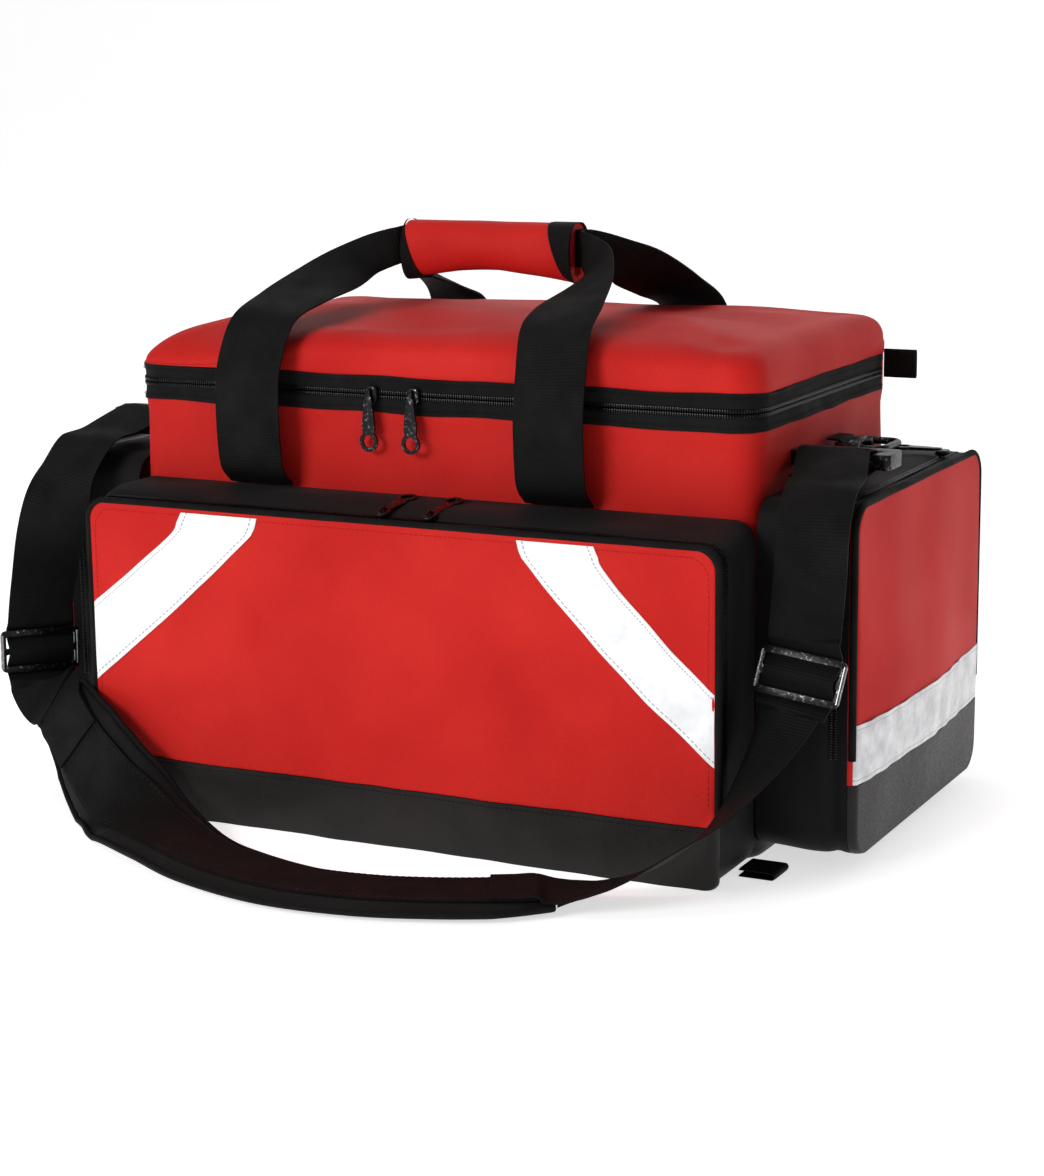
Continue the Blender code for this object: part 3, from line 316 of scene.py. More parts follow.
def tube(name, path, radius, sides=10, closed=False):
    """A round cord or wire: circles carried along a path, turned as little as possible."""
    path = np.asarray(path, float)
    ahead = np.roll(path, -1, axis=0) - np.roll(path, 1, axis=0) if closed else np.gradient(path, axis=0)
    tangent = unit(ahead)
    normals = np.zeros_like(path)
    normal = np.cross(tangent[0], (0.31, 0.52, 0.79))
    for k, t in enumerate(tangent):
        normal = normal - t * normal.dot(t)
        normal /= np.linalg.norm(normal)
        normals[k] = normal
    binormal = np.cross(tangent, normals)
    if closed:
        twist = math.atan2(binormal[0].dot(normals[-1]), normals[0].dot(normals[-1]))
        share = np.linspace(0, -twist, len(path))[:, None]
        normals, binormal = (normals * np.cos(share) + binormal * np.sin(share),
                             binormal * np.cos(share) - normals * np.sin(share))
    angle = np.linspace(0, 2 * math.pi, sides, endpoint=False)
    radius = np.broadcast_to(np.asarray(radius, float), (len(path),))[:, None, None]
    points = path[:, None] + radius * (np.cos(angle)[None, :, None] * normals[:, None]
                                       + np.sin(angle)[None, :, None] * binormal[:, None])
    run = run_of(path)
    uv = stacked(angle[None, :] / (2 * math.pi) * 0.01, run[:, None])
    return grid(name, points, uv, wrap_rows=closed, wrap_columns=True, caps=not closed)


def scatter(name, centers, tangent, normal, size):
    """Many small rounded lozenges in one mesh, each long on the tangent and high on the normal."""
    side = np.cross(normal, tangent)
    angle = np.linspace(0, 2 * math.pi, 6, endpoint=False)
    stations = ((-1.0, 0.25), (-0.55, 0.95), (0.55, 0.95), (1.0, 0.25))
    ring = np.array([[(s, r * math.cos(a), r * math.sin(a)) for a in angle] for s, r in stations])
    local = ring.reshape(-1, 3) * np.asarray(size) / 2
    points = (centers[:, None] + tangent[:, None] * local[None, :, :1]
              + side[:, None] * local[None, :, 1:2] + normal[:, None] * local[None, :, 2:3])
    faces = np.array([(s + a, s + (a + 1) % 6, s + 6 + (a + 1) % 6, s + 6 + a)
                      for s in (0, 6, 12) for a in range(6)])
    start = np.arange(len(centers)) * len(local)
    quads = (faces[None] + start[:, None, None]).reshape(-1, 4).tolist()
    ends = [list(range(6))[::-1], list(range(18, 24))]
    quads += [[v + base for v in end] for base in start.tolist() for end in ends]
    return finished(name, mesh_of(name, points, quads))


STITCH = (0.0026, 0.0008, 0.0006)


def stitches(name, line, normal, body, finish, spacing=0.0036):
    """A row of sewing thread on a line that lies on the cloth."""
    run = run_of(line)
    spots = np.arange(spacing / 2, run[-1], spacing)
    along = unit(sampled(spots, run, np.gradient(line, run, axis=0)))
    facing = square_to(sampled(spots, run, np.broadcast_to(np.asarray(normal, float), line.shape)), along)
    dress(scatter(name, sampled(spots, run, line), along, facing, STITCH), body, "black_webbing", finish)


def joined(name, pieces):
    """One object from several at the origin, with their UV maps kept."""
    bpy.ops.object.select_all(action="DESELECT")
    for piece in pieces:
        piece.select_set(True)
    bpy.context.view_layer.objects.active = pieces[0]
    bpy.ops.object.join()
    pieces[0].name = pieces[0].data.name = name
    pieces[0].select_set(False)
    return pieces[0]


def evaluated(obj):
    bpy.context.view_layer.update()
    return bpy.data.meshes.new_from_object(obj.evaluated_get(bpy.context.evaluated_depsgraph_get()))


def applied(obj):
    """Keeps what the modifiers make as the piece's own mesh."""
    mesh = evaluated(obj)
    obj.modifiers.clear()
    obj.data = mesh


def extruded(name, outline, holes, thickness, origin, right, up, edge, segments=2):
    """A flat plate from an outline and holes in a plane given by two directions, its edges rounded."""
    curve = bpy.data.curves.new(name, "CURVE")
    curve.dimensions = "2D"
    curve.fill_mode = "BOTH"
    curve.extrude = thickness / 2
    for ring in (outline, *holes):
        spline = curve.splines.new("POLY")
        spline.points.add(len(ring) - 1)
        flat = np.c_[np.asarray(ring, float), np.zeros(len(ring)), np.ones(len(ring))]
        spline.points.foreach_set("co", flat.astype(np.float32).ravel())
        spline.use_cyclic_u = True
    shape = linked(name + " outline", curve)
    mesh = evaluated(shape)
    bpy.data.objects.remove(shape, do_unlink=True)
    right, up = Vector(right).normalized(), Vector(up).normalized()
    turn = Matrix((right, up, right.cross(up))).transposed().to_4x4()
    mesh.transform(Matrix.Translation(Vector(origin)) @ turn)
    obj = linked(name, mesh)
    outwards(obj)
    bevel = obj.modifiers.new("rounded edges", "BEVEL")
    bevel.width, bevel.segments = edge, segments
    bevel.angle_limit = BEVEL_ANGLE
    applied(obj)
    smooth(obj.data)
    return obj


def rounded_outline(half_x, half_y, radius, steps=6):
    """Points of a rounded rectangle about the origin, anticlockwise."""
    turn = np.linspace(0, math.pi / 2, steps + 1)
    points = []
    for k, (sx, sy) in enumerate(((1, 1), (-1, 1), (-1, -1), (1, -1))):
        angles = math.pi / 2 * k + turn
        points += arc(sx * (half_x - radius), sy * (half_y - radius), radius, angles)
    return points


# Finishes


class Tree:
    """Short ways to add and link nodes in one node tree."""

    def __init__(self, tree):
        self.tree = tree

    def feed(self, socket, value):
        if isinstance(value, bpy.types.NodeSocket):
            self.tree.links.new(value, socket)
        else:
            socket.default_value = value

    def math(self, operation, *values):
        made = self.tree.nodes.new("ShaderNodeMath")
        made.operation = operation
        for socket, value in zip(made.inputs, values):
            self.feed(socket, value)
        return made.outputs[0]

    def noise(self, vector, scale, detail=3.0, roughness=0.5):
        made = self.tree.nodes.new("ShaderNodeTexNoise")
        self.feed(made.inputs["Vector"], vector)
        self.feed(made.inputs["Scale"], scale)
        made.inputs["Detail"].default_value = detail
        made.inputs["Roughness"].default_value = roughness
        return made.outputs["Fac"]

    def mix(self, share, first, second):
        made = self.tree.nodes.new("ShaderNodeMix")
        made.data_type = "RGBA"
        self.feed(made.inputs[0], share)
        self.feed(made.inputs[6], first)
        self.feed(made.inputs[7], second)
        return made.outputs[2]

    def spread(self, value, low, high, to_low=0.0, to_high=1.0):
        made = self.tree.nodes.new("ShaderNodeMapRange")
        for socket, number in zip(made.inputs, (value, low, high, to_low, to_high)):
            self.feed(socket, number)
        return made.outputs[0]

    def split(self, vector):
        made = self.tree.nodes.new("ShaderNodeSeparateXYZ")
        self.feed(made.inputs[0], vector)
        return made.outputs


def node_group(name, inputs, outputs):
    made = bpy.data.node_groups.new(name, "ShaderNodeTree")
    for label, kind, value in inputs:
        socket = made.interface.new_socket(name=label, in_out="INPUT", socket_type=kind)
        if value is not None:
            socket.default_value = value
    for label in outputs:
        made.interface.new_socket(name=label, in_out="OUTPUT", socket_type="NodeSocketFloat")
    tree = Tree(made)
    return tree, made.nodes.new("NodeGroupInput").outputs, made.nodes.new("NodeGroupOutput").inputs


def plain_weave():
    """Threads over and under: the product of two sine waves, one thread wide each."""
    tree, given, out = node_group("plain weave", (("Vector", "NodeSocketVector", None),
                                                  ("Thread", "NodeSocketFloat", 0.0006)), ("Height",))
    turns = tree.math("DIVIDE", math.pi, given["Thread"])
    x, y, _ = tree.split(given["Vector"])
    warp = tree.math("SINE", tree.math("MULTIPLY", x, turns))
    weft = tree.math("SINE", tree.math("MULTIPLY", y, turns))
    tree.feed(out["Height"], tree.math("MULTIPLY_ADD", tree.math("MULTIPLY", warp, weft), 0.5, 0.5))
    return tree.tree


def web_ribs():
    """Webbing: rounded ribs along its length, crossed by slanting yarns that change sides at each rib."""
    tree, given, out = node_group("web ribs", (("Vector", "NodeSocketVector", None),
                                               ("Rib", "NodeSocketFloat", 0.0021)), ("Height",))
    x, y, _ = tree.split(given["Vector"])
    turns = tree.math("DIVIDE", 2 * math.pi, given["Rib"])
    ribs = tree.math("SINE", tree.math("MULTIPLY", x, turns))
    zigzag = tree.math("ABSOLUTE", ribs)
    yarn = tree.math("SINE", tree.math("ADD", tree.math("MULTIPLY", y, turns),
                                       tree.math("MULTIPLY", zigzag, 2.2)))
    height = tree.math("ADD", tree.math("MULTIPLY", zigzag, 0.6), tree.math("MULTIPLY", yarn, 0.4))
    tree.feed(out["Height"], height)
    return tree.tree


def cloth_tone():
    """Uneven dye, rubbed patches and lint: coarse noise for tone, fine noise for grain."""
    tree, given, out = node_group("cloth tone", (("Vector", "NodeSocketVector", None),
                                                 ("Patch", "NodeSocketFloat", 14.0),
                                                 ("Grain", "NodeSocketFloat", 900.0)),
                                  ("Tone", "Grain"))
    patches = tree.noise(given["Vector"], given["Patch"], 4.0)
    tree.feed(out["Tone"], tree.spread(patches, 0.3, 0.7))
    tree.feed(out["Grain"], tree.spread(tree.noise(given["Vector"], given["Grain"], 2.0), 0.3, 0.7))
    return tree.tree


WEAVE, RIBS, TONE = plain_weave(), web_ribs(), cloth_tone()
CLOTH_SPECULAR, VINYL_SPECULAR = 0.14, 0.25
CREASE_HEIGHT = 0.0012
WEBBING_ROUGHNESS = 0.72


def finish_start(name):
    made = bpy.data.materials.new(name)
    made.use_nodes = True
    tree = Tree(made.node_tree)
    shader = made.node_tree.nodes["Principled BSDF"]
    place = made.node_tree.nodes.new("ShaderNodeTexCoord")
    return made, tree, shader, place.outputs["Object"], place.outputs["UV"]


def placed(tree, group, **inputs):
    made = tree.tree.nodes.new("ShaderNodeGroup")
    made.node_tree = group
    for label, value in inputs.items():
        tree.feed(made.inputs[label], value)
    return made.outputs


def bump(tree, shader, height, strength, distance, under=None):
    made = tree.tree.nodes.new("ShaderNodeBump")
    made.inputs["Strength"].default_value = strength
    made.inputs["Distance"].default_value = distance
    tree.feed(made.inputs["Height"], height)
    if under is not None:
        tree.feed(made.inputs["Normal"], under)
    tree.feed(shader.inputs["Normal"], made.outputs[0])
    return made.outputs[0]


def tinted(tree, shader, share, dark, light, by, rough_low, rough_high):
    """Colour between two tones by a share, and roughness between two values by a mask."""
    tree.feed(shader.inputs["Base Color"], tree.mix(share, (*dark, 1), (*light, 1)))
    tree.feed(shader.inputs["Roughness"], tree.spread(by, 0, 1, rough_low, rough_high))


def nylon(name, dark, light, thread=0.0007, rough=0.62):
    """Coated woven nylon: weave, uneven dye and soft creases."""
    made, tree, shader, spot, cloth = finish_start(name)
    weave = placed(tree, WEAVE, Vector=cloth, Thread=thread)["Height"]
    tone = placed(tree, TONE, Vector=spot, Patch=11.0, Grain=1100.0)
    share = tree.math("MULTIPLY_ADD", tone["Tone"], 0.55, tree.math("MULTIPLY", tone["Grain"], 0.30))
    share = tree.math("MULTIPLY_ADD", weave, 0.15, share)
    tinted(tree, shader, share, dark, light, tone["Tone"], rough + 0.08, rough - 0.06)
    shader.inputs["Specular IOR Level"].default_value = CLOTH_SPECULAR
    shader.inputs["Sheen Weight"].default_value = 0.02
    shader.inputs["Sheen Roughness"].default_value = 0.5
    creases = bump(tree, shader, tree.noise(spot, 26.0, 4.0, 0.55), 0.35, CREASE_HEIGHT)
    bump(tree, shader, weave, 0.35, thread * 0.3, creases)
    return made


def webbing_finish(name, dark, light, rib=0.0021):
    """Ribbed nylon webbing."""
    made, tree, shader, spot, cloth = finish_start(name)
    ribs = placed(tree, RIBS, Vector=cloth, Rib=rib)["Height"]
    tone = placed(tree, TONE, Vector=spot, Patch=40.0, Grain=1500.0)
    share = tree.math("MULTIPLY_ADD", tone["Tone"], 0.35, tree.math("MULTIPLY", ribs, 0.4))
    share = tree.math("MULTIPLY_ADD", tone["Grain"], 0.25, share)
    tinted(tree, shader, share, dark, light, tone["Tone"], WEBBING_ROUGHNESS + 0.1, WEBBING_ROUGHNESS - 0.08)
    shader.inputs["Specular IOR Level"].default_value = CLOTH_SPECULAR
    bump(tree, shader, ribs, 0.55, 0.0005)
    return made


def vinyl(name, dark, light, rough=0.42):
    """Grained vinyl-coated cloth: a fine pebble over soft creases."""
    made, tree, shader, spot, _ = finish_start(name)
    pebble = tree.tree.nodes.new("ShaderNodeTexVoronoi")
    tree.feed(pebble.inputs["Vector"], spot)
    pebble.inputs["Scale"].default_value = 700.0
    tone = placed(tree, TONE, Vector=spot, Patch=18.0, Grain=600.0)
    tinted(tree, shader, tone["Tone"], dark, light, tone["Grain"], rough + 0.12, rough - 0.05)
    shader.inputs["Specular IOR Level"].default_value = VINYL_SPECULAR
    creases = bump(tree, shader, tree.noise(spot, 30.0, 4.0), 0.4, 0.0015)
    bump(tree, shader, pebble.outputs["Distance"], 0.3, 0.0003, creases)
    return made


def reflective(name, dark, light, rough, painted_glow, crease):
    """Glass-bead tape: fine sparkle, long creases, a woven edge where it is sewn, and a painted glow standing
    in for light the beads send back.

    The cloth map runs from 0 to 1 across the tape and in metres along it.
    """
    made, tree, shader, spot, cloth = finish_start(name)
    across, along, _ = tree.split(cloth)
    beads = tree.noise(spot, 2600.0, 1.0)
    edge = tree.math("ABSOLUTE", tree.math("SUBTRACT", across, 0.5))
    seam = tree.math("LESS_THAN", tree.math("ABSOLUTE", tree.math("SUBTRACT", edge, 0.425)), 0.010)
    dash = tree.math("GREATER_THAN", tree.math("SINE", tree.math("MULTIPLY", along, 2100.0)), -0.45)
    thread = tree.math("MULTIPLY", seam, dash)
    soft = tree.noise(spot, 55.0, 3.0, 0.6)
    tone = tree.math("MULTIPLY_ADD", tree.spread(soft, 0.35, 0.65), 0.6, tree.math("MULTIPLY", beads, 0.4))
    plain = tree.mix(tone, (*dark, 1), (*light, 1))
    tree.feed(shader.inputs["Base Color"], tree.mix(thread, plain, (0.30, 0.29, 0.30, 1)))
    tree.feed(shader.inputs["Roughness"], tree.spread(beads, 0.3, 0.7, rough + 0.1, rough - 0.1))
    # Painted light: the emission makes the tape glow, standing in for light the beads send back towards the
    # camera.
    shader.inputs["Emission Strength"].default_value = painted_glow
    shader.inputs["Emission Color"].default_value = (1, 1, 1, 1)
    shader.inputs["Coat Weight"].default_value = 0.3
    stretched = tree.tree.nodes.new("ShaderNodeMapping")
    tree.feed(stretched.inputs["Vector"], spot)
    stretched.inputs["Scale"].default_value = crease
    creases = bump(tree, shader, tree.noise(stretched.outputs[0], 40.0, 3.0, 0.6), 0.5, 0.0012)
    bump(tree, shader, tree.math("SUBTRACT", beads, tree.math("MULTIPLY", thread, 2.0)), 0.3, 0.0003, creases)
    return made


def metal(name, color, worn, rough, metallic):
    """Painted cast metal, rubbed bright in patches."""
    made, tree, shader, spot, _ = finish_start(name)
    rub = tree.spread(tree.noise(spot, 420.0, 4.0, 0.65), 0.56, 0.70)
    tinted(tree, shader, rub, color, worn, rub, rough, rough - 0.08)
    shader.inputs["Metallic"].default_value = metallic
    bump(tree, shader, tree.noise(spot, 900.0, 3.0), 0.12, 0.0002)
    return made


RED = nylon("red nylon", (0.43, 0.0065, 0.0065), (0.64, 0.018, 0.011))
BLACK_CLOTH = nylon("black nylon", (0.0022, 0.0019, 0.0020), (0.0085, 0.0075, 0.0078), rough=0.66)
TAPE_CLOTH = webbing_finish("zip tape", (0.0025, 0.0023, 0.0025), (0.0105, 0.0095, 0.0095), rib=0.0014)
WEB = webbing_finish("black webbing", (0.0014, 0.0012, 0.0012), (0.0065, 0.0056, 0.0052))
BINDING = webbing_finish("binding tape", (0.0018, 0.0017, 0.0017), (0.0075, 0.0070, 0.0070), rib=0.0012)
VINYL = vinyl("black vinyl", (0.0030, 0.0022, 0.0019), (0.0090, 0.0070, 0.0060))
# Lit and shaded copies of one reflective tape: the front copy's lighter colours and stronger glow are painted
# light where it faces the lamps, and the end copy's darker colours are painted shade.
LIT_FRONT_TAPE = reflective("front reflective tape", (0.66, 0.68, 0.71), (0.93, 0.93, 0.94), 0.38, 0.10,
                        (1.0, 1.0, 0.35))
SHADED_END_TAPE = reflective("end reflective tape", (0.36, 0.37, 0.39), (0.86, 0.86, 0.88), 0.30, 0.03,
                      (1.0, 3.2, 0.4))
GUNMETAL = metal("gunmetal", (0.012, 0.012, 0.0125), (0.20, 0.20, 0.20), 0.34, 0.85)
# A painted highlight: brighter metal for the slide's edges, where light catches them.
EDGE_HIGHLIGHT = metal("bright edges", (0.25, 0.25, 0.26), (0.60, 0.60, 0.60), 0.28, 0.95)
COIL = metal("zip coil", (0.006, 0.006, 0.0065), (0.05, 0.05, 0.05), 0.30, 0.3)
THREAD = webbing_finish("black thread", (0.004, 0.0038, 0.0038), (0.014, 0.013, 0.013), rib=0.0005)
GREY_THREAD = webbing_finish("grey thread", (0.012, 0.011, 0.011), (0.030, 0.028, 0.028), rib=0.0005)
RED_THREAD = webbing_finish("red thread", (0.36, 0.008, 0.008), (0.55, 0.018, 0.012), rib=0.0005)
BOARD = vinyl("stiffener board", (0.04, 0.04, 0.04), (0.07, 0.07, 0.07), 0.6)


def shell_of(name, outer, inner, flat):
    """A sheet with thickness: each row runs out along the outer surface and back along the inner one."""
    points = np.concatenate([outer, inner[:, ::-1]], axis=1)
    return grid(name, points, np.concatenate([flat, flat[:, ::-1]], axis=1), wrap_columns=True, caps=True)


def hoop(name, rows, uv):
    """A closed band round the bag: each column is a closed profile."""
    return grid(name, rows, uv, wrap_rows=True, wrap_columns=True)


def metres(points):
    """A cloth map for a grid: the distances run along its rows and its columns."""
    along = np.linalg.norm(np.diff(points, axis=1), axis=2)
    up = np.linalg.norm(np.diff(points, axis=0), axis=2)
    u = np.concatenate([np.zeros((len(points), 1)), np.cumsum(along, axis=1)], axis=1)
    v = np.concatenate([np.zeros((1, points.shape[1])), np.cumsum(up, axis=0)], axis=0)
    return stacked(u, v)


# Main compartment

WALL_RISE = 0.002
WALL_CREASE = 0.0011
REAR_THICK = 0.0028
HINGE_HALF = 0.006
FOOT = 0.006


def body_walls():
    """The red walls: the bag's outline carried up, drawn in and out by soft creases, with an inner face."""
    outline, normal, run = around(HALF_LENGTH, HALF_DEPTH, BODY_CORNER, 360)
    z = SHELL_LOW[2] + (SHELL_HIGH[2] + WALL_RISE - SHELL_LOW[2]) * np.linspace(0, 1, 60)
    outer = raised(outline, z)
    inner = outer[::-1].copy()
    outer[..., :2] += normal[None] * wall_push(outer)[..., None]
    inner[..., :2] -= normal[None] * WALL
    flat = stacked(run[None], z[:, None])
    walls = hoop("main walls", np.concatenate([outer, inner]), np.concatenate([flat, flat[::-1]]))
    dress(walls, "bag", "red_nylon", RED, "main_shell")


def wall_push(points):
    """How far the wall stands in from its outline: soft creases that fade at both seams."""
    z = points[..., 2]
    low, high = BASE_HIGH[2], SHELL_HIGH[2]
    fade = smooth_step(z, low, low + 0.03) * smooth_step(-z, -high, 0.012 - high)
    return -WALL_CREASE * fade * (1 + 0.8 * folds(points, 0.085, 11))


def base_tray():
    """The vinyl base: outline carried up with rounded feet, crossing inwards over the floor."""
    outline, normal, run = around(HALF_LENGTH, HALF_DEPTH, BODY_CORNER, 300)
    turn = np.linspace(-math.pi / 2, 0, 7)
    inset = np.r_[FOOT - FOOT * np.cos(turn), 0, 0, WALL, WALL]
    z = np.r_[FOOT + FOOT * np.sin(turn), 0.5 * BASE_HIGH[2], BASE_HIGH[2], BASE_HIGH[2], WALL]
    points = raised(outline, z)
    points[..., :2] -= normal[None] * inset[:, None, None]
    climb = np.r_[0, np.cumsum(np.abs(np.diff(z)))]
    flat = stacked(run[None, :], climb[:, None])
    tray = grid("base tray", points, flat, wrap_columns=True, caps=True)
    dress(tray, "bag", "black_vinyl", VINYL, "base_boot")


def tape_path():
    """Points and outward normals along the zip, from its left back end round the front to the right."""
    outline, normal, _ = around(HALF_LENGTH, HALF_DEPTH, BODY_CORNER, 1200)
    x, y = outline.T
    keep = (y < TAPE_END) | (np.abs(x) < HALF_LENGTH - BODY_CORNER) & (y < 0)
    line, out = outline[keep], normal[keep]
    picks = np.linspace(0, len(line) - 1, TAPE_STEPS).round().astype(int)
    return line[picks], out[picks]


def zip_tapes():
    """Both tapes of the main zip, their sewn edges, and the two rows of coil between them."""
    line, out = tape_path()
    facing = np.c_[out, np.zeros(len(out))]
    for name, body, node, edge, way in (("lower zip tape", "bag", "zip_tape_lower", TAPE_LOW[2], 1),
                                        ("upper zip tape", "lid", "zip_tape_upper", LID_LOW[2], -1)):
        reach = (ZIP_HEIGHT - 0.0004 * way - edge) * np.array([-0.04, 0.0, 0.25, 0.5, 0.75, 0.95, 1.0])
        z = edge + reach
        puff = np.array([0.0010, 0.0013, 0.0006, 0.0002, 0.0, -0.0002, -0.0010])
        outer = raised(line, z).swapaxes(0, 1).copy()
        outer[..., :2] += out[:, None] * puff[None, :, None]
        wander = folds(np.c_[line, np.full(len(line), edge)], 0.06, 5)
        outer[..., 2] += 0.0006 * wander[:, None] * (puff > 0)[None]
        inner = outer.copy()
        inner[..., :2] -= out[:, None] * (TAPE_THICK + puff[None, :, None] * 0.5)
        tape = shell_of(name, outer, inner, metres(outer)[..., ::-1])
        dress(tape, body, "zip_tape", TAPE_CLOTH, node)
        row = outer[:, 1] + facing * 0.0002 + np.array([0, 0, 0.0028 * way])
        stitches(name + " thread", row, facing, body, THREAD)
        coil(name + " coil", np.c_[line, np.full(len(line), ZIP_HEIGHT - 0.00165 * way)], facing, Z, body)


TAPE_THICK = 0.0022
TAPE_STEPS = 420
TOOTH_PITCH = 0.0017
TOOTH = (0.0030, 0.0011, 0.0016)
TOOTH_LIFT = 0.0004


def coil(name, line, out, across, body):
    """A row of zip teeth: small rounded bars that lie across the zip, one pitch apart."""
    run = run_of(line)
    spots = np.arange(TOOTH_PITCH / 2, run[-1], TOOTH_PITCH)
    facing = unit(sampled(spots, run, out))
    center = sampled(spots, run, line) + facing * TOOTH_LIFT
    teeth = scatter(name, center, np.broadcast_to(np.asarray(across, float), center.shape), facing, TOOTH)
    dress(teeth, body, "zip_tape", COIL)


def rear_fabric():
    """The red cloth across the back, lower and upper, with a folded binding along the hinge line."""
    outline, normal, _ = around(HALF_LENGTH, HALF_DEPTH, BODY_CORNER, 900)
    keep = outline[:, 1] > TAPE_END - 0.0002
    order = np.argsort(-outline[keep][:, 0])
    line, out = outline[keep][order], normal[keep][order]
    for name, body, node, low, high in (
            ("rear lower cloth", "bag", "rear_band_lower", TAPE_LOW[2], ZIP_HEIGHT - 0.0002),
            ("rear upper cloth", "lid", "rear_band_upper", ZIP_HEIGHT + 0.0002, LID_LOW[2] + 0.001)):
        z = np.linspace(low, high, 7)
        outer = raised(line, z).swapaxes(0, 1)
        inner = outer.copy()
        inner[..., :2] -= out[:, None] * REAR_THICK
        dress(shell_of(name, outer, inner, metres(outer)), body, "red_nylon", RED, node)
    z = np.linspace(ZIP_HEIGHT - HINGE_HALF, ZIP_HEIGHT + HINGE_HALF, 13)
    bow = np.cos((z - ZIP_HEIGHT) / HINGE_HALF * math.pi / 2)
    path = stacked(0.0, HALF_DEPTH + 0.0010 + 0.0008 * bow, z)
    side, fold = np.tile(X, (len(z), 1)), np.tile(Y, (len(z), 1))
    binding = band("hinge binding", path, side, fold, 2 * (HALF_LENGTH - BODY_CORNER), 0.0012, 61)
    dress(binding, None, "black_webbing", BINDING)
    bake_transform(binding)


# Lid

CROWN = LID_HIGH[2] - LID_LOW[2]
LID_WALL = 0.005
DOME = 0.005
LID_FOLD = 0.0022
CORNER_DENT, DENT_X, DENT_Y = 0.004, 0.205, -0.105


def lid_height(x, y, inward):
    """The dome's height: a rounded shoulder that is long at the left end, then a slow rise to the crown."""
    long_left = smooth_step(-x, 0.07, 0.20)
    shoulder = 0.030 + 0.060 * long_left
    rim = 0.012 - 0.009 * long_left
    rest = CROWN - rim - DOME
    t = 1 - np.clip(inward / shoulder, 0, 1)
    bow = 2.3 - 0.55 * long_left
    round_over = np.power(np.maximum(1 - np.power(t, bow), 0), 1 / bow)
    dome = DOME * smooth_step(inward, 0.02, HALF_DEPTH)
    spot = stacked(x, y, 0.0)
    soft = LID_FOLD * folds(spot, 0.15, 3) * smooth_step(inward, 0.0, 0.04)
    dent = CORNER_DENT * np.exp(-((x - DENT_X) / 0.018) ** 2 - ((y - DENT_Y) / 0.02) ** 2)
    return LID_LOW[2] + rim + rest * round_over + dome + soft - dent - 0.0015


def lid_cloth():
    """The padded lid: rings of its outline that shrink to a ridge, outside and again a wall inside."""
    outline, normal, _ = around(HALF_LENGTH, HALF_DEPTH, BODY_CORNER, 360)
    reach = HALF_LENGTH - HALF_DEPTH
    shares = np.r_[0, (np.linspace(0, 1, 56)[1:]) ** 1.6]
    middle = stacked(np.clip(outline[:, 0], -reach, reach), np.zeros(len(outline)))
    flat = outline[None] + (middle - outline)[None] * shares[:, None, None]
    inward = np.linalg.norm(flat - outline[None], axis=-1)
    top = np.concatenate([flat, lid_height(flat[..., 0], flat[..., 1], inward)[..., None]], axis=-1)
    rim = np.concatenate([outline, np.full((len(outline), 1), LID_LOW[2])], axis=1)[None]
    side = rim + (top[:1] - rim) * np.linspace(0, 1, 6)[:-1, None, None]
    outer = np.concatenate([side, top])
    outer[1:5, :, :2] += normal[None] * 0.0008
    under = top.copy()
    under[..., :2] = middle + (under[..., :2] - middle) * (1 - LID_WALL / HALF_DEPTH)
    under[..., 2] -= LID_WALL
    inner_rim = rim.copy()
    inner_rim[..., :2] -= normal[None] * LID_WALL
    points = np.concatenate([under[::-1], inner_rim, outer])
    cover = grid("lid cover", points, metres(points), wrap_columns=True)
    dress(cover, "lid", "red_nylon", RED, "lid_shell")


# Front pocket

POCKET_TOP = PANEL_HIGH[2]
POCKET_BACK_TOP = GUSSET_HIGH[2]
PANEL_THICK = PANEL_HIGH[1] - PANEL_LOW[1]
POCKET_CORNER = 0.014
POCKET_WALL = 0.004
COIL_OFFSET = 0.00155
ZIP_GROOVE = 0.004
SEAM_GAP = 0.0003
CORNER_STOP = 0.995
PIPING = 0.0026
PIPING_IN = 0.0022
FOOT_LIFT = 0.0008
FACE_CROWN = 0.0042
POCKET_PUFF = 0.0022
FACE_ROUND = 0.004


def pocket_outline(inset, rise, count=300):
    """The pocket's outline in the XZ plane, rounded more at its top than at its foot."""
    half_z = (POCKET_TOP + rise) / 2 - inset
    line, normal, _ = around(HALF_LENGTH - inset, half_z, POCKET_CORNER - inset, count)
    return line + np.array([0, (POCKET_TOP + rise) / 2]), normal


def front_gusset():
    """The pocket's gusset: its outline carried back from the panel, with soft bulges beside the zip."""
    rows = []
    depths = np.linspace(GUSSET_LOW[1], GUSSET_HIGH[1], 26)
    share = (depths - depths[0]) / (depths[-1] - depths[0])
    rise = (POCKET_BACK_TOP - POCKET_TOP) * share
    for y, up, s in zip(depths, rise, share):
        line, normal = pocket_outline(0.0, up)
        spot = stacked(line[:, 0], y, line[:, 1])
        top = smooth_step(line[:, 1], 0.03, 0.06)
        swell = POCKET_PUFF * math.sin(math.pi * s) * top * (1 + 0.9 * folds(spot, 0.07, 21))
        swell -= 0.0016 * math.exp(-((y - ZIP_LINE_Y) / ZIP_GROOVE) ** 2) * top
        moved = line + normal * swell[:, None]
        rows.append(stacked(moved[:, 0], y, np.maximum(moved[:, 1], 0)))
    for y, up in zip(depths[::-1], rise[::-1]):
        line, _ = pocket_outline(POCKET_WALL, up)
        rows.append(stacked(line[:, 0], y, line[:, 1]))
    points = np.array(rows)
    gusset = hoop("front pocket gusset", points, metres(points))
    dress(gusset, "bag", "black_vinyl", BLACK_CLOTH, "front_gusset")
    line, normal = above(*pocket_outline(0.0, 0.0015, 900), 0.05)
    out = stacked(normal[:, 0], 0.0, normal[:, 1])
    for way, row in ((-1, "front"), (1, "rear")):
        path = stacked(line[:, 0], ZIP_LINE_Y + COIL_OFFSET * way, line[:, 1])
        coil(f"front pocket coil {row}", path - out * 0.0004, out, Y, "bag")


ZIP_LINE_Y = PANEL_HIGH[1] + 0.0085


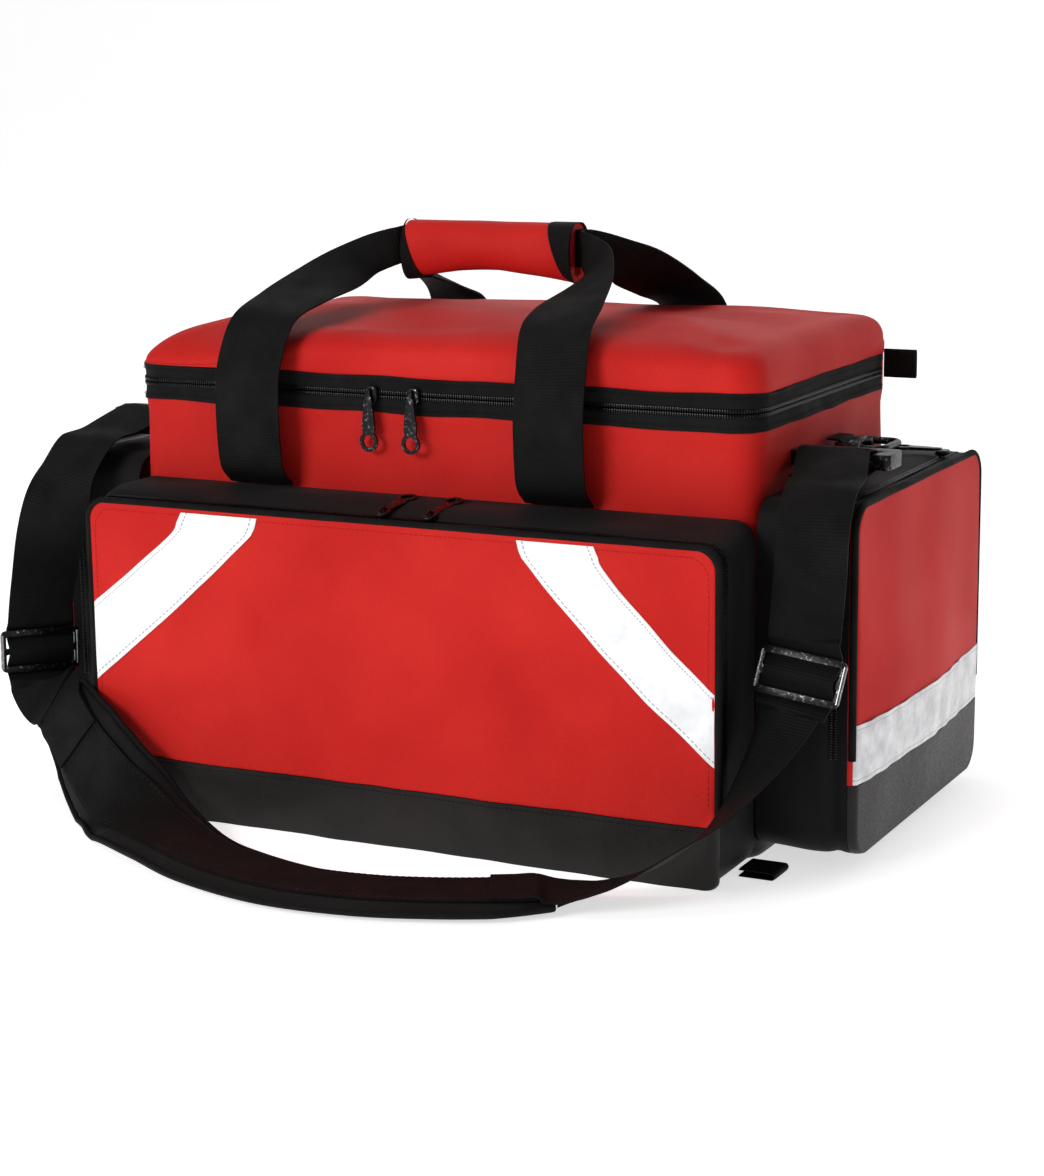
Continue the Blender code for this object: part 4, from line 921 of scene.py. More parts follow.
def front_swell(x, z):
    """How far the filled pocket's face stands proud: a low crown with soft creases, none at its rim."""
    across = 1 - (x / HALF_LENGTH) ** 4
    up = np.clip(z / POCKET_TOP, 0, 1)
    rise = np.sin(math.pi * up) ** 0.7
    spot = stacked(x, POCKET_FRONT, z)
    rim = np.minimum(np.minimum(HALF_LENGTH - np.abs(x), POCKET_TOP - z), 0.03) / 0.03
    soft = 0.0009 * folds(spot, 0.10, 31) + 0.0005 * folds(spot, 0.04, 32)
    return (FACE_CROWN * across * rise + soft) * np.clip(rim, 0, 1)


def face_sheet(name, z, half_width, lift):
    """A sheet on the pocket's face between two heights, turned over at its side edges."""
    u = np.linspace(-1, 1, 150)
    u = np.sin(u * math.pi / 2)
    x = u[None] * half_width(z)[:, None]
    height = np.broadcast_to(z[:, None], x.shape)
    over = rolled_edge(half_width(z)[:, None] - np.abs(x), FACE_ROUND)
    y = POCKET_FRONT - front_swell(x, height) - lift + over
    outer = stacked(x, y, height)
    inner = outer.copy()
    inner[..., 1] = np.maximum(POCKET_FRONT + PANEL_THICK, y + 0.0004)
    return shell_of(name, outer, inner, stacked(x, height))


def panel_half_width(z):
    """Half the panel's width at a height, narrower in its rounded top corners."""
    lift = np.clip(POCKET_TOP - z, 0, POCKET_CORNER)
    return HALF_LENGTH - POCKET_CORNER + np.sqrt(POCKET_CORNER**2 - (POCKET_CORNER - lift) ** 2)


def foot_half_width(z):
    """Half the foot band's width at a height, narrower where it turns under."""
    return HALF_LENGTH - rolled_edge(np.maximum(z, 0), FOOT)


def front_panel():
    """The red face, its base band, its piping and both reflective stripes."""
    bend, corner = POCKET_TOP - POCKET_CORNER, np.sin(np.linspace(0, math.pi / 2, 12))[1:] * CORNER_STOP
    z = np.r_[np.linspace(PANEL_LOW[2], bend, 60), bend + POCKET_CORNER * corner]
    face = face_sheet("front face", z, panel_half_width, 0.0)
    dress(face, "front_panel", "red_nylon", RED, "front_panel")
    z = np.r_[FOOT * (1 - np.cos(np.linspace(0, math.pi / 2, 6))),
              np.linspace(FOOT, PANEL_LOW[2] - SEAM_GAP, 14)[1:]]
    foot = face_sheet("front foot band", z, foot_half_width, FOOT_LIFT)
    dress(foot, "bag", "black_vinyl", VINYL, "front_base_band")
    low = PANEL_LOW[2] + 0.002
    turn = np.linspace(0, math.pi / 2, 16)
    radius, edge = POCKET_CORNER, HALF_LENGTH
    arc = np.c_[edge - radius + radius * np.cos(turn), POCKET_TOP - radius + radius * np.sin(turn)]
    right = np.vstack([np.c_[np.full(30, edge), np.linspace(low, POCKET_TOP - radius, 30)], arc[1:],
                       np.c_[np.linspace(edge - radius, 0, 60)[1:], np.full(59, POCKET_TOP)]])
    line = np.vstack([right, (right * (-1, 1))[::-1][1:]])
    path = stacked(line[:, 0], POCKET_FRONT + PIPING_IN, line[:, 1])
    dress(tube("front face piping", path, PIPING, 12), "front_panel", "black_vinyl", BINDING)
    x, z = line[:, 0] * (1 - 0.006 / edge), line[:, 1] - 0.0055
    inside = stacked(x, POCKET_FRONT - front_swell(x, z) - 0.0001, z)
    stitches("front face thread", inside[3:-3], -Y, "front_panel", RED_THREAD)
    x = np.linspace(-HALF_LENGTH + 0.006, HALF_LENGTH - 0.006, 160)
    z = np.full_like(x, PANEL_LOW[2] - 0.0035)
    stitches("foot band thread", stacked(x, POCKET_FRONT - front_swell(x, z) - 0.0009, z), -Y, "bag", THREAD)
    for side, label in SIDES:
        front_stripe(side, label)


STRIPE_EDGES = {"left": (0.157, 0.092, 0.147), "right": (0.151, 0.0806, 0.1275)}
STRIPE_INNER_TOP = 0.097


def front_stripe(side, label):
    """A reflective band between two smooth edges, from the panel's top down and out to its side."""
    outer_top, low, high = STRIPE_EDGES[label]
    top, edge = POCKET_TOP - 0.0035, HALF_LENGTH - PIPING_IN
    bend = top - 0.014
    inner = [(STRIPE_INNER_TOP, top), (STRIPE_INNER_TOP + 0.003, bend + 0.005),
             (STRIPE_INNER_TOP + 0.012, bend - 0.005),
             ((STRIPE_INNER_TOP + edge) / 2, (bend + low) / 2), (edge, low)]
    outer = [(outer_top, top), (outer_top + 0.003, bend + 0.008), (outer_top + 0.009, bend - 0.002),
             ((outer_top + edge + 0.006) / 2, (bend + high) / 2 - 0.001), (edge, high)]
    count = 110
    first, last = smooth_path(inner, count), smooth_path(outer, count)
    s = np.linspace(0, 1, 21)
    flat = first[:, None] * (1 - s)[None, :, None] + last[:, None] * s[None, :, None]
    x, z = side * np.minimum(flat[..., 0], edge), flat[..., 1]
    spot = stacked(x + 0.6 * z, np.zeros_like(x), 3.0 * (z - 0.6 * x))
    pucker = 0.00035 * folds(spot, 0.09, 40 + side) * np.sin(math.pi * s)[None]
    y = POCKET_FRONT - front_swell(x, z) - 0.0011 - pucker
    y += 0.0014 * smooth_step(edge - np.abs(x), 0.004, 0.0)
    outer_face = stacked(x, y, z)
    inner_face = outer_face + 0.0009 * Y
    run = run_of(first + last) / 2
    uv = stacked(s[None], run[:, None])
    stripe = shell_of(f"front stripe {label}", outer_face, inner_face, uv)
    dress(stripe, "front_panel", "reflective_tape", LIT_FRONT_TAPE, f"front_stripe_{label}")


# End pockets

END_BOTTOM, END_TOP, END_HALF = END_LOW[2], END_HIGH[2], END_HIGH[1]
END_EDGE = END_HIGH[0] + PANEL_THICK + 0.0003
END_CORNER = 0.018
END_CROWN = END_PANEL_HIGH[0] - END_EDGE
END_SEAM = END_PANEL_LOW[2]


def end_half_width(z):
    """Half the end pocket's width at a height, narrower in its rounded corners."""
    lift = np.clip(np.minimum(z - END_BOTTOM, END_TOP - z), 0, END_CORNER)
    return END_HALF - END_CORNER + np.sqrt(np.maximum(END_CORNER**2 - (END_CORNER - lift) ** 2, 0))


def end_bulge(y, z, seed):
    """How far the filled pocket's outer face stands proud of its edge, with soft creases."""
    across = 1 - (y / END_HALF) ** 2
    up = np.sin(math.pi * np.clip((z - END_BOTTOM) / (END_TOP - END_BOTTOM), 0, 1))
    spot = stacked(np.full_like(y, 0.3), y, z)
    return END_CROWN * across * up + 0.0009 * folds(spot, 0.09, seed) * np.sqrt(np.clip(across * up, 0, 1))


def end_sheet(name, side, z, lift, back, trim=0.0, rim_round=0.005, pleat=0.0):
    """A sheet on the end pocket's outer face between two heights, turned over at its side edges.

    Back gives its inner face from its outer one.
    """
    u = np.sin(np.linspace(-1, 1, 100) * math.pi / 2)
    half = end_half_width(z) - trim
    y = u[None] * half[:, None]
    height = np.broadcast_to(z[:, None], y.shape)
    over = rolled_edge(half[:, None] - np.abs(y), rim_round)
    x = END_EDGE + end_bulge(y, height, 50 + side) + lift - over
    if pleat:
        spot = stacked(y, np.zeros_like(y), height * 0.15)
        x = x + pleat * folds(spot, 0.022, 61 + side)
    outer = stacked(side * x, y, height)
    inner = outer.copy()
    inner[..., 0] = side * back(x)
    return shell_of(name, outer, inner, stacked(y, height))


def panel_back(x):
    return np.minimum(END_EDGE - PANEL_THICK, x - END_FOOT_LIFT)


def stripe_back(x):
    return x - STRIPE_THICK


def end_outline(inset, count=260):
    half_z = (END_TOP - END_BOTTOM) / 2 - inset
    line, normal, _ = around(END_HALF - inset, half_z, END_CORNER - inset, count)
    return line + np.array([0, (END_BOTTOM + END_TOP) / 2]), normal


def end_pocket(side, label):
    """One end pocket: gusset with its zip, red face, vinyl foot, reflective stripe and piping."""
    line, normal = end_outline(0.0)
    depths = np.linspace(HALF_LENGTH + SEAM_GAP, END_HIGH[0], 24)
    share = (depths - depths[0]) / (depths[-1] - depths[0])
    spot = np.empty((len(depths), len(line), 3))
    spot[..., 0], spot[..., 1:] = side * depths[:, None], line[None]
    soft = 0.0016 * np.sin(math.pi * share)[:, None] * (0.4 + 0.8 * folds(spot, 0.06, 70 + side))
    soft -= 0.0014 * np.exp(-((depths - END_ZIP_X) / ZIP_GROOVE) ** 2)[:, None]
    outer = spot.copy()
    outer[..., 1:] += normal[None] * soft[..., None]
    inner = spot[::-1].copy()
    inner[..., 1:] = end_outline(POCKET_WALL)[0]
    points = np.concatenate([outer, inner])
    gusset = hoop(f"end gusset {label}", points, metres(points))
    dress(gusset, "bag", "black_vinyl", BLACK_CLOTH, f"end_gusset_{label}")

    fine, fine_out = above(*end_outline(0.0, 900), END_ZIP_LOW)
    out = stacked(0.0, *fine_out.T)
    for way, row in ((-1, "inner"), (1, "outer")):
        path = stacked(side * (END_ZIP_X + COIL_OFFSET * way), *fine.T) - out * 0.0006
        coil(f"end coil {label} {row}", path, out, X, "bag")

    body = f"end_panel_{label}"
    corner = END_CORNER * np.sin(np.linspace(0, math.pi / 2, 12))
    bend = END_TOP - END_CORNER
    z = np.r_[np.linspace(END_SEAM, bend, 50), bend + corner[1:] * CORNER_STOP]
    face = end_sheet(f"end face {label}", side, z, 0.0, panel_back)
    dress(face, body, "red_nylon", RED, f"end_panel_{label}")
    bend = END_BOTTOM + END_CORNER
    z = np.r_[bend - corner[::-1] * CORNER_STOP, np.linspace(bend, END_SEAM - SEAM_GAP, 20)[1:]]
    foot = end_sheet(f"end foot {label}", side, z, END_FOOT_LIFT, panel_back)
    dress(foot, "bag", "black_vinyl", VINYL, f"end_base_{label}")
    z = np.linspace(END_SEAM + SEAM_GAP, END_SEAM + STRIPE_HEIGHT, 24)
    stripe = end_sheet(f"end stripe {label}", side, z, STRIPE_LIFT, stripe_back, 0.001, 0.003, 0.00045)
    uv = stripe.data.uv_layers[0].data
    flat = np.empty(len(uv) * 2, np.float32)
    uv.foreach_get("uv", flat)
    flat = flat.reshape(-1, 2)[:, ::-1].copy()
    flat[:, 0] = (flat[:, 0] - z[0]) / (z[-1] - z[0])
    uv.foreach_set("uv", flat.ravel())
    dress(stripe, body, "reflective_tape", SHADED_END_TAPE, f"end_stripe_{label}")

    rim = stacked(side * (END_EDGE - PIPING_IN), *fine.T)
    rim = rim[fine[:, 1] > END_SEAM + 0.004][::3]
    dress(tube(f"end face piping {label}", rim, PIPING, 12), body, "black_vinyl", BINDING)


END_ZIP_X = END_HIGH[0] - 0.010
END_ZIP_LOW = 0.075
STRIPE_THICK = 0.0008
STRIPE_LIFT = 0.0009
STRIPE_HEIGHT = 0.0393
END_FOOT_LIFT = 0.0006
END_SLIDER_Y = 0.085


# Carrying handles

ANCHOR_HEIGHT = POCKET_BACK_TOP + 0.002
BEND_HEIGHT = ZIP_HEIGHT + 0.018
HANDLE_WALL = HALF_DEPTH + 0.004
FOLD_Y = -(HALF_DEPTH + WEB_STANDOFF)
GRIP_REACH = (GRIP_HIGH[0] - GRIP_LOW[0]) / 2
GRIP_HALF = -GRIP_LOW[1]
BAR_HEIGHT = 0.026
BAR_OFFSET = 0.0026
GRIP_ARCH = 0.007
GRIP_GAP = 0.0003
LID_TOP = LID_HIGH[2]
MOUTH_Y, MOUTH_Z = GRIP_HALF + 0.007, LID_TOP + 0.0337


def handle_path(y, half_spacing, rise, fixed):
    """A handle web from seam to seam, from the fixed (y, z) points up through the rising ones.

    It leans as it nears the grip and narrows to pass through it.
    """
    grip_z = (GRIP_LOW[2] + GRIP_HIGH[2]) / 2 + GRIP_ARCH / 2
    steps = len(rise)
    points = [(-half_spacing, fy, fz) for fy, fz in fixed]
    across = [(1.0, 0, 0)] * len(fixed)
    for i, (fy, fz) in enumerate(rise):
        share = (i / steps) ** 1.4
        points.append((-(half_spacing + (GRIP_REACH + GRIP_HALF - half_spacing) * share), fy, fz))
        lean = (i / steps) ** 3 * math.pi / 2
        across.append((math.cos(lean), 0.0, -math.sin(lean)))
    widths = [WEB_WIDTH] * (len(points) - 2) + [(WEB_WIDTH + BAR_HEIGHT) / 2 + 0.006, BAR_HEIGHT + 0.004]
    mouth = GRIP_REACH + 0.003
    middle = [(x, y, grip_z) for x in (-mouth, -GRIP_REACH / 2, 0.0, GRIP_REACH / 2, mouth)]
    middle = [(-mouth - 0.006, 3.2 * y, grip_z - 0.001), *middle, (mouth + 0.006, 3.2 * y, grip_z - 0.001)]
    points += middle + [(-px, py, pz) for px, py, pz in points[::-1]]
    across += [(0, 0, -1)] * len(middle) + [(-ax, ay, az) for ax, ay, az in across[::-1]]
    widths += [BAR_HEIGHT] * len(middle) + widths[::-1]
    count = 260
    path = smooth_path(points, count)
    path[:, 0] += HANDLE_CENTER_X
    _, side, normal = frames_along(path, smooth_path(across, count))
    width = smooth_path([[w, 0, 0] for w in widths], count)[:, 0]
    return path, side, normal, width


def handle_webs():
    """Both handle webs, each one piece from its left seam through the grip to its right seam."""
    wall, out = -HANDLE_WALL, FOLD_Y - 0.003
    fixed = [(wall, ANCHOR_HEIGHT), ((wall + out) / 2 - 0.004, ANCHOR_HEIGHT + 0.011),
             (out, ANCHOR_HEIGHT + 0.028), (out - 0.001, BEND_HEIGHT - 0.025)]
    rise = [(FOLD_Y, BEND_HEIGHT), (-(HALF_DEPTH + 0.001), BEND_HEIGHT + 0.029),
            (-0.77 * HALF_DEPTH, LID_TOP + 0.0117), (-0.46 * HALF_DEPTH, LID_TOP + 0.0227),
            (-MOUTH_Y, MOUTH_Z)]
    path, side, normal, width = handle_path(-BAR_OFFSET, FRONT_WEB_SPACING, rise, fixed)
    web = band("front handle web", path, side, normal, width, WEB_THICKNESS)
    dress(web, None, "black_webbing", WEB, "front_web_left", "front_web_right", "front_handle_web")
    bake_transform(web)

    wall = HANDLE_WALL
    rise = [(wall, ANCHOR_HEIGHT), (wall + 0.009, ANCHOR_HEIGHT + 0.030), (wall + 0.009, BEND_HEIGHT - 0.012),
            (wall - 0.006, BEND_HEIGHT + 0.022), (0.69 * HALF_DEPTH, LID_TOP + 0.0087),
            (0.385 * HALF_DEPTH, LID_TOP + 0.0237), (MOUTH_Y, MOUTH_Z)]
    face = HALF_DEPTH + 0.0015
    low = [(face, 0.004), (face, 0.08), (face, 0.15), (face, ANCHOR_HEIGHT - 0.012)]
    path, side, normal, width = handle_path(BAR_OFFSET, REAR_WEB_SPACING, rise, low)
    web = band("rear handle web", path, side, normal, width, WEB_THICKNESS)
    dress(web, None, "black_webbing", WEB, "rear_handle_web", "rear_web_anchor_left", "rear_web_anchor_right")
    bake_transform(web)
    for way, label in SIDES:
        x = HANDLE_CENTER_X + way * REAR_WEB_SPACING
        for k, offset in enumerate((-0.021, 0.021)):
            z = np.linspace(0.008, ANCHOR_HEIGHT - 0.016, 80)
            line = stacked(x + offset, face + WEB_THICKNESS / 2 + 0.0001, z)
            stitches(f"rear anchor thread {label} {k}", line, Y, "bag", THREAD)


def grip_ring(x, side, grow):
    """Half of the grip's section at each x: half-round outside, with the web's slot inside."""
    arch = GRIP_ARCH * (1 - (x / GRIP_REACH) ** 2)
    low, high = GRIP_LOW[2] + arch - grow, GRIP_HIGH[2] + grow
    angle = np.linspace(-math.pi / 2, math.pi / 2, 30)
    half, center = (high - low) / 2, (high + low) / 2
    reach = (GRIP_HALF - 0.0008 + grow) * np.cos(angle) ** 0.7
    outer = stacked(x[:, None] + HANDLE_CENTER_X, side * (GRIP_GAP + reach[None]),
                    center[:, None] + half[:, None] * np.sin(angle)[None])
    slot = np.abs(outer[..., 2] - center[:, None]) < BAR_HEIGHT / 2 + 0.002
    inner = outer.copy()
    inner[..., 1] = side * np.minimum(GRIP_GAP + 0.0048 * slot, np.abs(outer[..., 1]))
    return outer, inner


def grip():
    """The padded wrap, in a half on each web, with black binding at both ends."""
    for side, label in ((-1, "front"), (1, "rear")):
        body = f"{label}_handle"
        x = np.linspace(-GRIP_REACH, GRIP_REACH, 61)
        puff = 0.0010 * np.sin(math.pi * (x + GRIP_REACH) / (2 * GRIP_REACH)) ** 0.5
        outer, inner = grip_ring(x, side, 0.0)
        middle = np.array([HANDLE_CENTER_X, 0, (GRIP_LOW[2] + GRIP_HIGH[2]) / 2])
        out = unit((outer - middle) * (0, 1, 1))
        soft = puff[:, None] * (0.2 + 0.7 * folds(outer, 0.035, 80))
        soft = soft * np.clip(np.abs(outer[..., 1]) / 0.006, 0, 1)
        outer = outer + out * soft[..., None]
        wrap = shell_of(f"grip wrap {label}", outer, inner, metres(outer))
        dress(wrap, body, "red_nylon", RED, f"grip_{label}")
        for end, hand, wide in ((-1, "left", 0.007), (1, "right", 0.012)):
            start = end * (GRIP_REACH + 0.0012)
            x = np.linspace(start, start - end * wide, 9)
            edge, inside = grip_ring(x, side, 0.0009)
            slant = 0.35 * (edge[..., 2] - GRIP_LOW[2] - 0.02) * np.linspace(0, 1, 9)[:, None]
            edge[..., 0] -= slant
            inside[..., 0] -= slant
            inside[..., 1] = side * np.maximum(np.abs(edge[..., 1]) - 0.0022, GRIP_GAP)
            strip = shell_of(f"grip binding {label} {hand}", edge, inside, metres(edge))
            dress(strip, body, "black_webbing", BINDING)


# Zip sliders


def pull_shape(length, hole, ring, neck):
    """A tongue that widens from its neck into a ring at its end, with its holes, as (x, y) below 0."""
    center = -(length - ring)
    turn = np.linspace(math.radians(128), math.radians(412), 34)
    side = [(neck, 0.0012), (neck + 0.0006, -0.004), (0.0048, center + ring + 0.004)]
    outline = [(-x, y) for x, y in side] + arc(0.0, center, ring, turn) + side[::-1]
    return outline, [arc(0.0, center, hole, np.linspace(0, 2 * math.pi, 32, endpoint=False))]


def zip_slider(name, slider, origin, right, up, hinge, pull_right, pull_up, length, pull=None):
    """A slider with its crown, and a ring-ended pull that rides on its own body or else on the slider."""
    out = np.cross(right, up)
    lower = extruded(name + " slider", SLIDER_HALF + [(-x, y) for x, y in SLIDER_HALF[::-1]],
                     [], 0.0036, origin - out * 0.0007, right, up, CAST_EDGE, 3)
    arch = np.linspace(0, math.pi, 12)
    path = origin + np.outer(np.cos(arch) * 0.0042, up) + np.outer(np.sin(arch) * 0.0024 + 0.0009, out)
    crown = tube(name + " crown", path, 0.0011, 8)
    dress(joined(name + " slider", [lower, crown]), slider, "dark_metal", GUNMETAL, slider)
    outline, holes = pull_shape(length, 0.0044, 0.0068, 0.0026)
    tongue = extruded(name + " pull", outline, holes, 0.0019, hinge, pull_right, pull_up, PLATE_EDGE)
    dress(tongue, pull or slider, "dark_metal", GUNMETAL, *([pull] if pull else []))


SLIDER_HALF = [(0.0026, -0.006), (0.0045, -0.0025), (0.0045, 0.0045), (0.0030, 0.006)]
MAIN_PULL, SHORT_PULL = 0.036, 0.033


def sliders():
    """The main zip's two sliders, the front pocket's two and one on each end pocket."""
    slope = math.atan2(POCKET_BACK_TOP - POCKET_TOP, GUSSET_HIGH[1] - GUSSET_LOW[1])
    back = np.array([0, math.cos(slope), math.sin(slope)])
    for _, label in SIDES:
        low, high = corners(f"main_slider_{label}")
        center = (low + high) / 2
        hinge = np.array([center[0], low[1] - 0.0006 - 0.0012, ZIP_HEIGHT - 0.002])
        zip_slider(f"main zip {label}", f"main_slider_{label}", center, X, Z, hinge, X, Z, MAIN_PULL,
                   f"main_pull_{label}")
        low, high = corners(f"front_slider_{label}")
        center = (low + high) / 2
        pull_low = corners(f"front_pull_{label}")[0]
        hinge = np.array([center[0], pull_low[1] + 0.001, pull_low[2] + 0.0012])
        zip_slider(f"front zip {label}", f"front_slider_{label}", center - 0.0004 * Z, X, back,
                   hinge, -X, -back, SHORT_PULL, f"front_pull_{label}")
    for side, label in SIDES:
        low = corners(f"end_slider_{label}")[0]
        center = np.array([side * (END_EDGE - PANEL_THICK - 0.010), END_SLIDER_Y, low[2] + 0.0026])
        hinge = center + np.array([-side * 0.002, 0, 0.0028])
        zip_slider(f"end zip {label}", f"end_slider_{label}", center, -X, Y,
                   hinge, -side * Y, side * X, SHORT_PULL)


# Shoulder strap

RING_HEIGHT = (RING_LOW[2] + RING_HIGH[2]) / 2
RING_WIRE = (RING_HIGH[2] - RING_LOW[2]) / 2
RING_BAR_X, RING_OUT_X = RING_LOW[0] + RING_WIRE, RING_HIGH[0] - RING_WIRE
RING_FRONT_Y, RING_BACK_Y = RING_LOW[1] + RING_WIRE, RING_HIGH[1] - RING_WIRE
HOOK_X = (EYE_LOW[0] + EYE_HIGH[0]) / 2
EYE_BAR = EYE_HIGH[2] - EYE_LOW[2]
EYE_DEPTH = 0.0035
EYE_Y = EYE_LOW[1] + EYE_BAR + EYE_DEPTH
STRAP_SLOT_HALF = STRAP_WIDTH / 2 + 0.0016
HOOK_SLOT, HOOK_INNER, HOOK_OUTER = 0.014, 0.0056, 0.0096
STRAP_BAR_Y = EYE_LOW[1] + EYE_BAR / 2
GLIDE_BAR, GLIDE_SLOT, GLIDE_THICKNESS = 0.0044, 0.0085, 0.0024


def beside_hook(side, out, forward, height):
    return side * (HOOK_X + out), -(END_HALF + forward), RING_HEIGHT * height


def beside_pocket(side, out, forward, height):
    half = STRAP_WIDTH / 2
    return side * (HALF_LENGTH + half + out), POCKET_FRONT - half - forward, height


def before_pocket(share, forward, height):
    return share * HALF_LENGTH, POCKET_FRONT - STRAP_WIDTH / 2 - forward, height


def strap_path(side, run, across, glide_height):
    """The web's path: round the eye's bar, down past its slide, weaving under and over the slide's bars."""
    x, y, z = side * HOOK_X, STRAP_BAR_Y, RING_HEIGHT
    clear = EYE_BAR / 2 + STRAP_THICKNESS / 2 + 0.0010
    bend = 0.75 * clear
    loop = [(x, y - 0.030, z - clear - 0.0010), (x, y - 0.012, z - clear - 0.0006), (x, y - 0.001, z - clear),
            (x, y + bend, z - bend), (x, y + clear, z), (x, y + bend, z + bend), (x, y - 0.001, z + clear),
            (x, y - 0.012, z + clear - 0.0002)]
    count = 240
    path = smooth_path(loop + run, count)
    sides = smooth_path([(1, 0, 0)] * len(loop) + across, count)
    tangent, width, normal = frames_along(path, sides)
    length = run_of(path)
    off_glide = np.where(path[:, 1] < -END_HALF, np.abs(path[:, 2] - glide_height), np.inf)
    k = int(np.argmin(off_glide))
    center, along, out, across_glide = path[k].copy(), tangent[k].copy(), normal[k].copy(), width[k].copy()
    weave = (GLIDE_THICKNESS + STRAP_THICKNESS) / 2 + 0.0010
    pitch = GLIDE_BAR + GLIDE_SLOT
    reach = 1.8 * pitch
    spots = np.union1d(length, length[k] + np.arange(-reach, reach, pitch / 12))
    path, width = sampled(spots, length, path), sampled(spots, length, width)
    away = spots - length[k]
    near = (np.abs(away) < reach)[:, None]
    shift = weave * np.cos(math.pi * away / pitch)
    share = np.clip((reach - np.abs(away)) / (0.5 * pitch), 0, 1)[:, None]
    target = center + away[:, None] * along + out * shift[:, None]
    path = np.where(near, path + (target - path) * share, path)
    _, width, normal = frames_along(path, np.where(near, across_glide, width))
    return path, width, normal, (center, across_glide, along)


def strap_webs():
    """Both webs with their slides; gives back each web's path and width for the ends where it joins the pad.
    """
    right = [beside_hook(1, 0.009, -0.0247, 0.984), beside_hook(1, 0.013, 0.0013, 0.964),
             beside_hook(1, 0.015, 0.0193, 0.884), beside_hook(1, 0.015, 0.0233, 0.775),
             beside_hook(1, 0.013, 0.0253, 0.651), beside_hook(1, 0.011, 0.0283, RIGHT_GLIDE_SHARE),
             beside_pocket(1, 0.010, -0.0405, 0.100), beside_pocket(1, -0.007, -0.0085, 0.063),
             beside_pocket(1, -0.033, 0.0115, 0.036), beside_pocket(1, -0.069, 0.0295, 0.016),
             beside_pocket(1, -0.101, 0.0403, 0.0082)]
    right_across = [(1, 0, 0)] * 6 + [(0.85, -0.50, 0.05), (0.50, -0.84, 0.12), (0.42, -0.78, 0.40),
                                      (0.50, -0.80, 0.25), (0.52, -0.85, 0.02)]
    left = [beside_hook(-1, 0.009, -0.0247, 0.984), beside_hook(-1, 0.013, 0.0013, 0.964),
            beside_hook(-1, 0.019, 0.0193, 0.876), beside_hook(-1, 0.027, 0.0253, 0.760),
            beside_hook(-1, 0.034, 0.0293, 0.620), beside_hook(-1, 0.039, 0.0313, 0.484),
            beside_hook(-1, 0.039, 0.0333, 0.357), beside_hook(-1, 0.033, 0.0393, 0.295),
            beside_pocket(-1, 0.026, -0.0385, 0.071), beside_pocket(-1, 0.013, -0.0290, 0.0756)]
    left_across = [(1, 0, 0)] * 3 + [(0.86, 0.50, 0.0), (0.60, 0.80, 0.0), (0.55, 0.83, 0.10),
                                     (0.55, 0.80, 0.20), (0.55, 0.60, 0.60), (0.56, 0.35, 0.75),
                                     (0.60, 0.14, 0.78)]
    ends = []
    for side, label, run, across, share in ((1, "right", right, right_across, RIGHT_GLIDE_SHARE),
                                            (-1, "left", left, left_across, LEFT_GLIDE_SHARE)):
        path, width, normal, place = strap_path(side, run, across, RING_HEIGHT * share)
        web = band(f"strap web {label}", path, width, normal, STRAP_WIDTH, STRAP_THICKNESS)
        dress(web, "strap", "black_webbing", WEB, f"strap_web_{label}")
        tri_glide(label, *place)
        ends.append((label, path, width))
    return ends[::-1]


RIGHT_GLIDE_SHARE = 0.531
LEFT_GLIDE_SHARE = 0.388


def tri_glide(label, center, side, along):
    """The three-bar slide, with rounded edges and bright metal ends that are a painted highlight."""
    wide, tall = STRAP_SLOT_HALF + GLIDE_BAR * 0.8, GLIDE_BAR * 1.5 + GLIDE_SLOT
    slot = rounded_outline(STRAP_SLOT_HALF, GLIDE_SLOT / 2, 0.001, 3)
    slots = [[(u, v + way * (GLIDE_BAR + GLIDE_SLOT) / 2) for u, v in slot] for way in (-1, 1)]
    glide = extruded(f"slide {label}", rounded_outline(wide, tall, 0.004), slots, GLIDE_THICKNESS,
                     center, side, along, GLIDE_EDGE)
    dress(glide, "strap", "dark_metal", GUNMETAL, f"tri_glide_{label}")
    # Painted highlight: a bright metal tube along each end of the slide, where light catches its rounded
    # edges.
    for way in (-1, 1):
        bar = center + side * way * (wide - 0.0012)
        ends = bar + np.outer(np.linspace(-tall + 0.003, tall - 0.003, 9), along)
        dress(tube(f"slide edge {label} {way}", ends, 0.0016, 10), "strap", "dark_metal", EDGE_HIGHLIGHT)


def pad_path():
    """The pad's line from left to right, with its directions and its width at each point."""
    points = [beside_pocket(-1, 0.003, -0.0235, 0.0700), beside_pocket(-1, -0.022, -0.0090, 0.0520),
              beside_pocket(-1, -0.044, 0.0020, 0.0350), beside_pocket(-1, -0.066, 0.0125, 0.0215),
              beside_pocket(-1, -0.095, 0.0265, 0.0110), before_pocket(-0.506, 0.0515, 0.0056),
              before_pocket(-0.298, 0.0755, 0.0052), before_pocket(-0.043, 0.0905, 0.0052),
              before_pocket(0.187, 0.0870, 0.0052), before_pocket(0.374, 0.0735, 0.0052),
              beside_pocket(1, -0.134, 0.0565, 0.0054), beside_pocket(1, -0.107, 0.0425, 0.0060)]
    across = [(0.60, 0.12, 0.78), (0.59, 0.06, 0.80), (0.52, 0.26, 0.78), (0.38, 0.52, 0.72),
              (0.28, 0.93, 0.25), (0.36, 0.93, 0.0), (0.30, 0.95, 0.0), (0.08, 1.0, 0.0),
              (-0.18, 0.98, 0.0), (-0.36, 0.93, 0.0),
              (-0.44, 0.90, 0.0), (-0.50, 0.86, 0.0)]
    count = 200
    path = smooth_path(points, count)
    _, side, normal = frames_along(path, smooth_path(across, count))
    if normal[count // 2, 2] < 0:
        normal = -normal
    share = np.linspace(0, 1, count)
    width = PAD_WIDTH * np.minimum(1.0, PAD_END_WIDTH + 2.6 * np.minimum(share, 1 - share))
    return path, side, normal, width


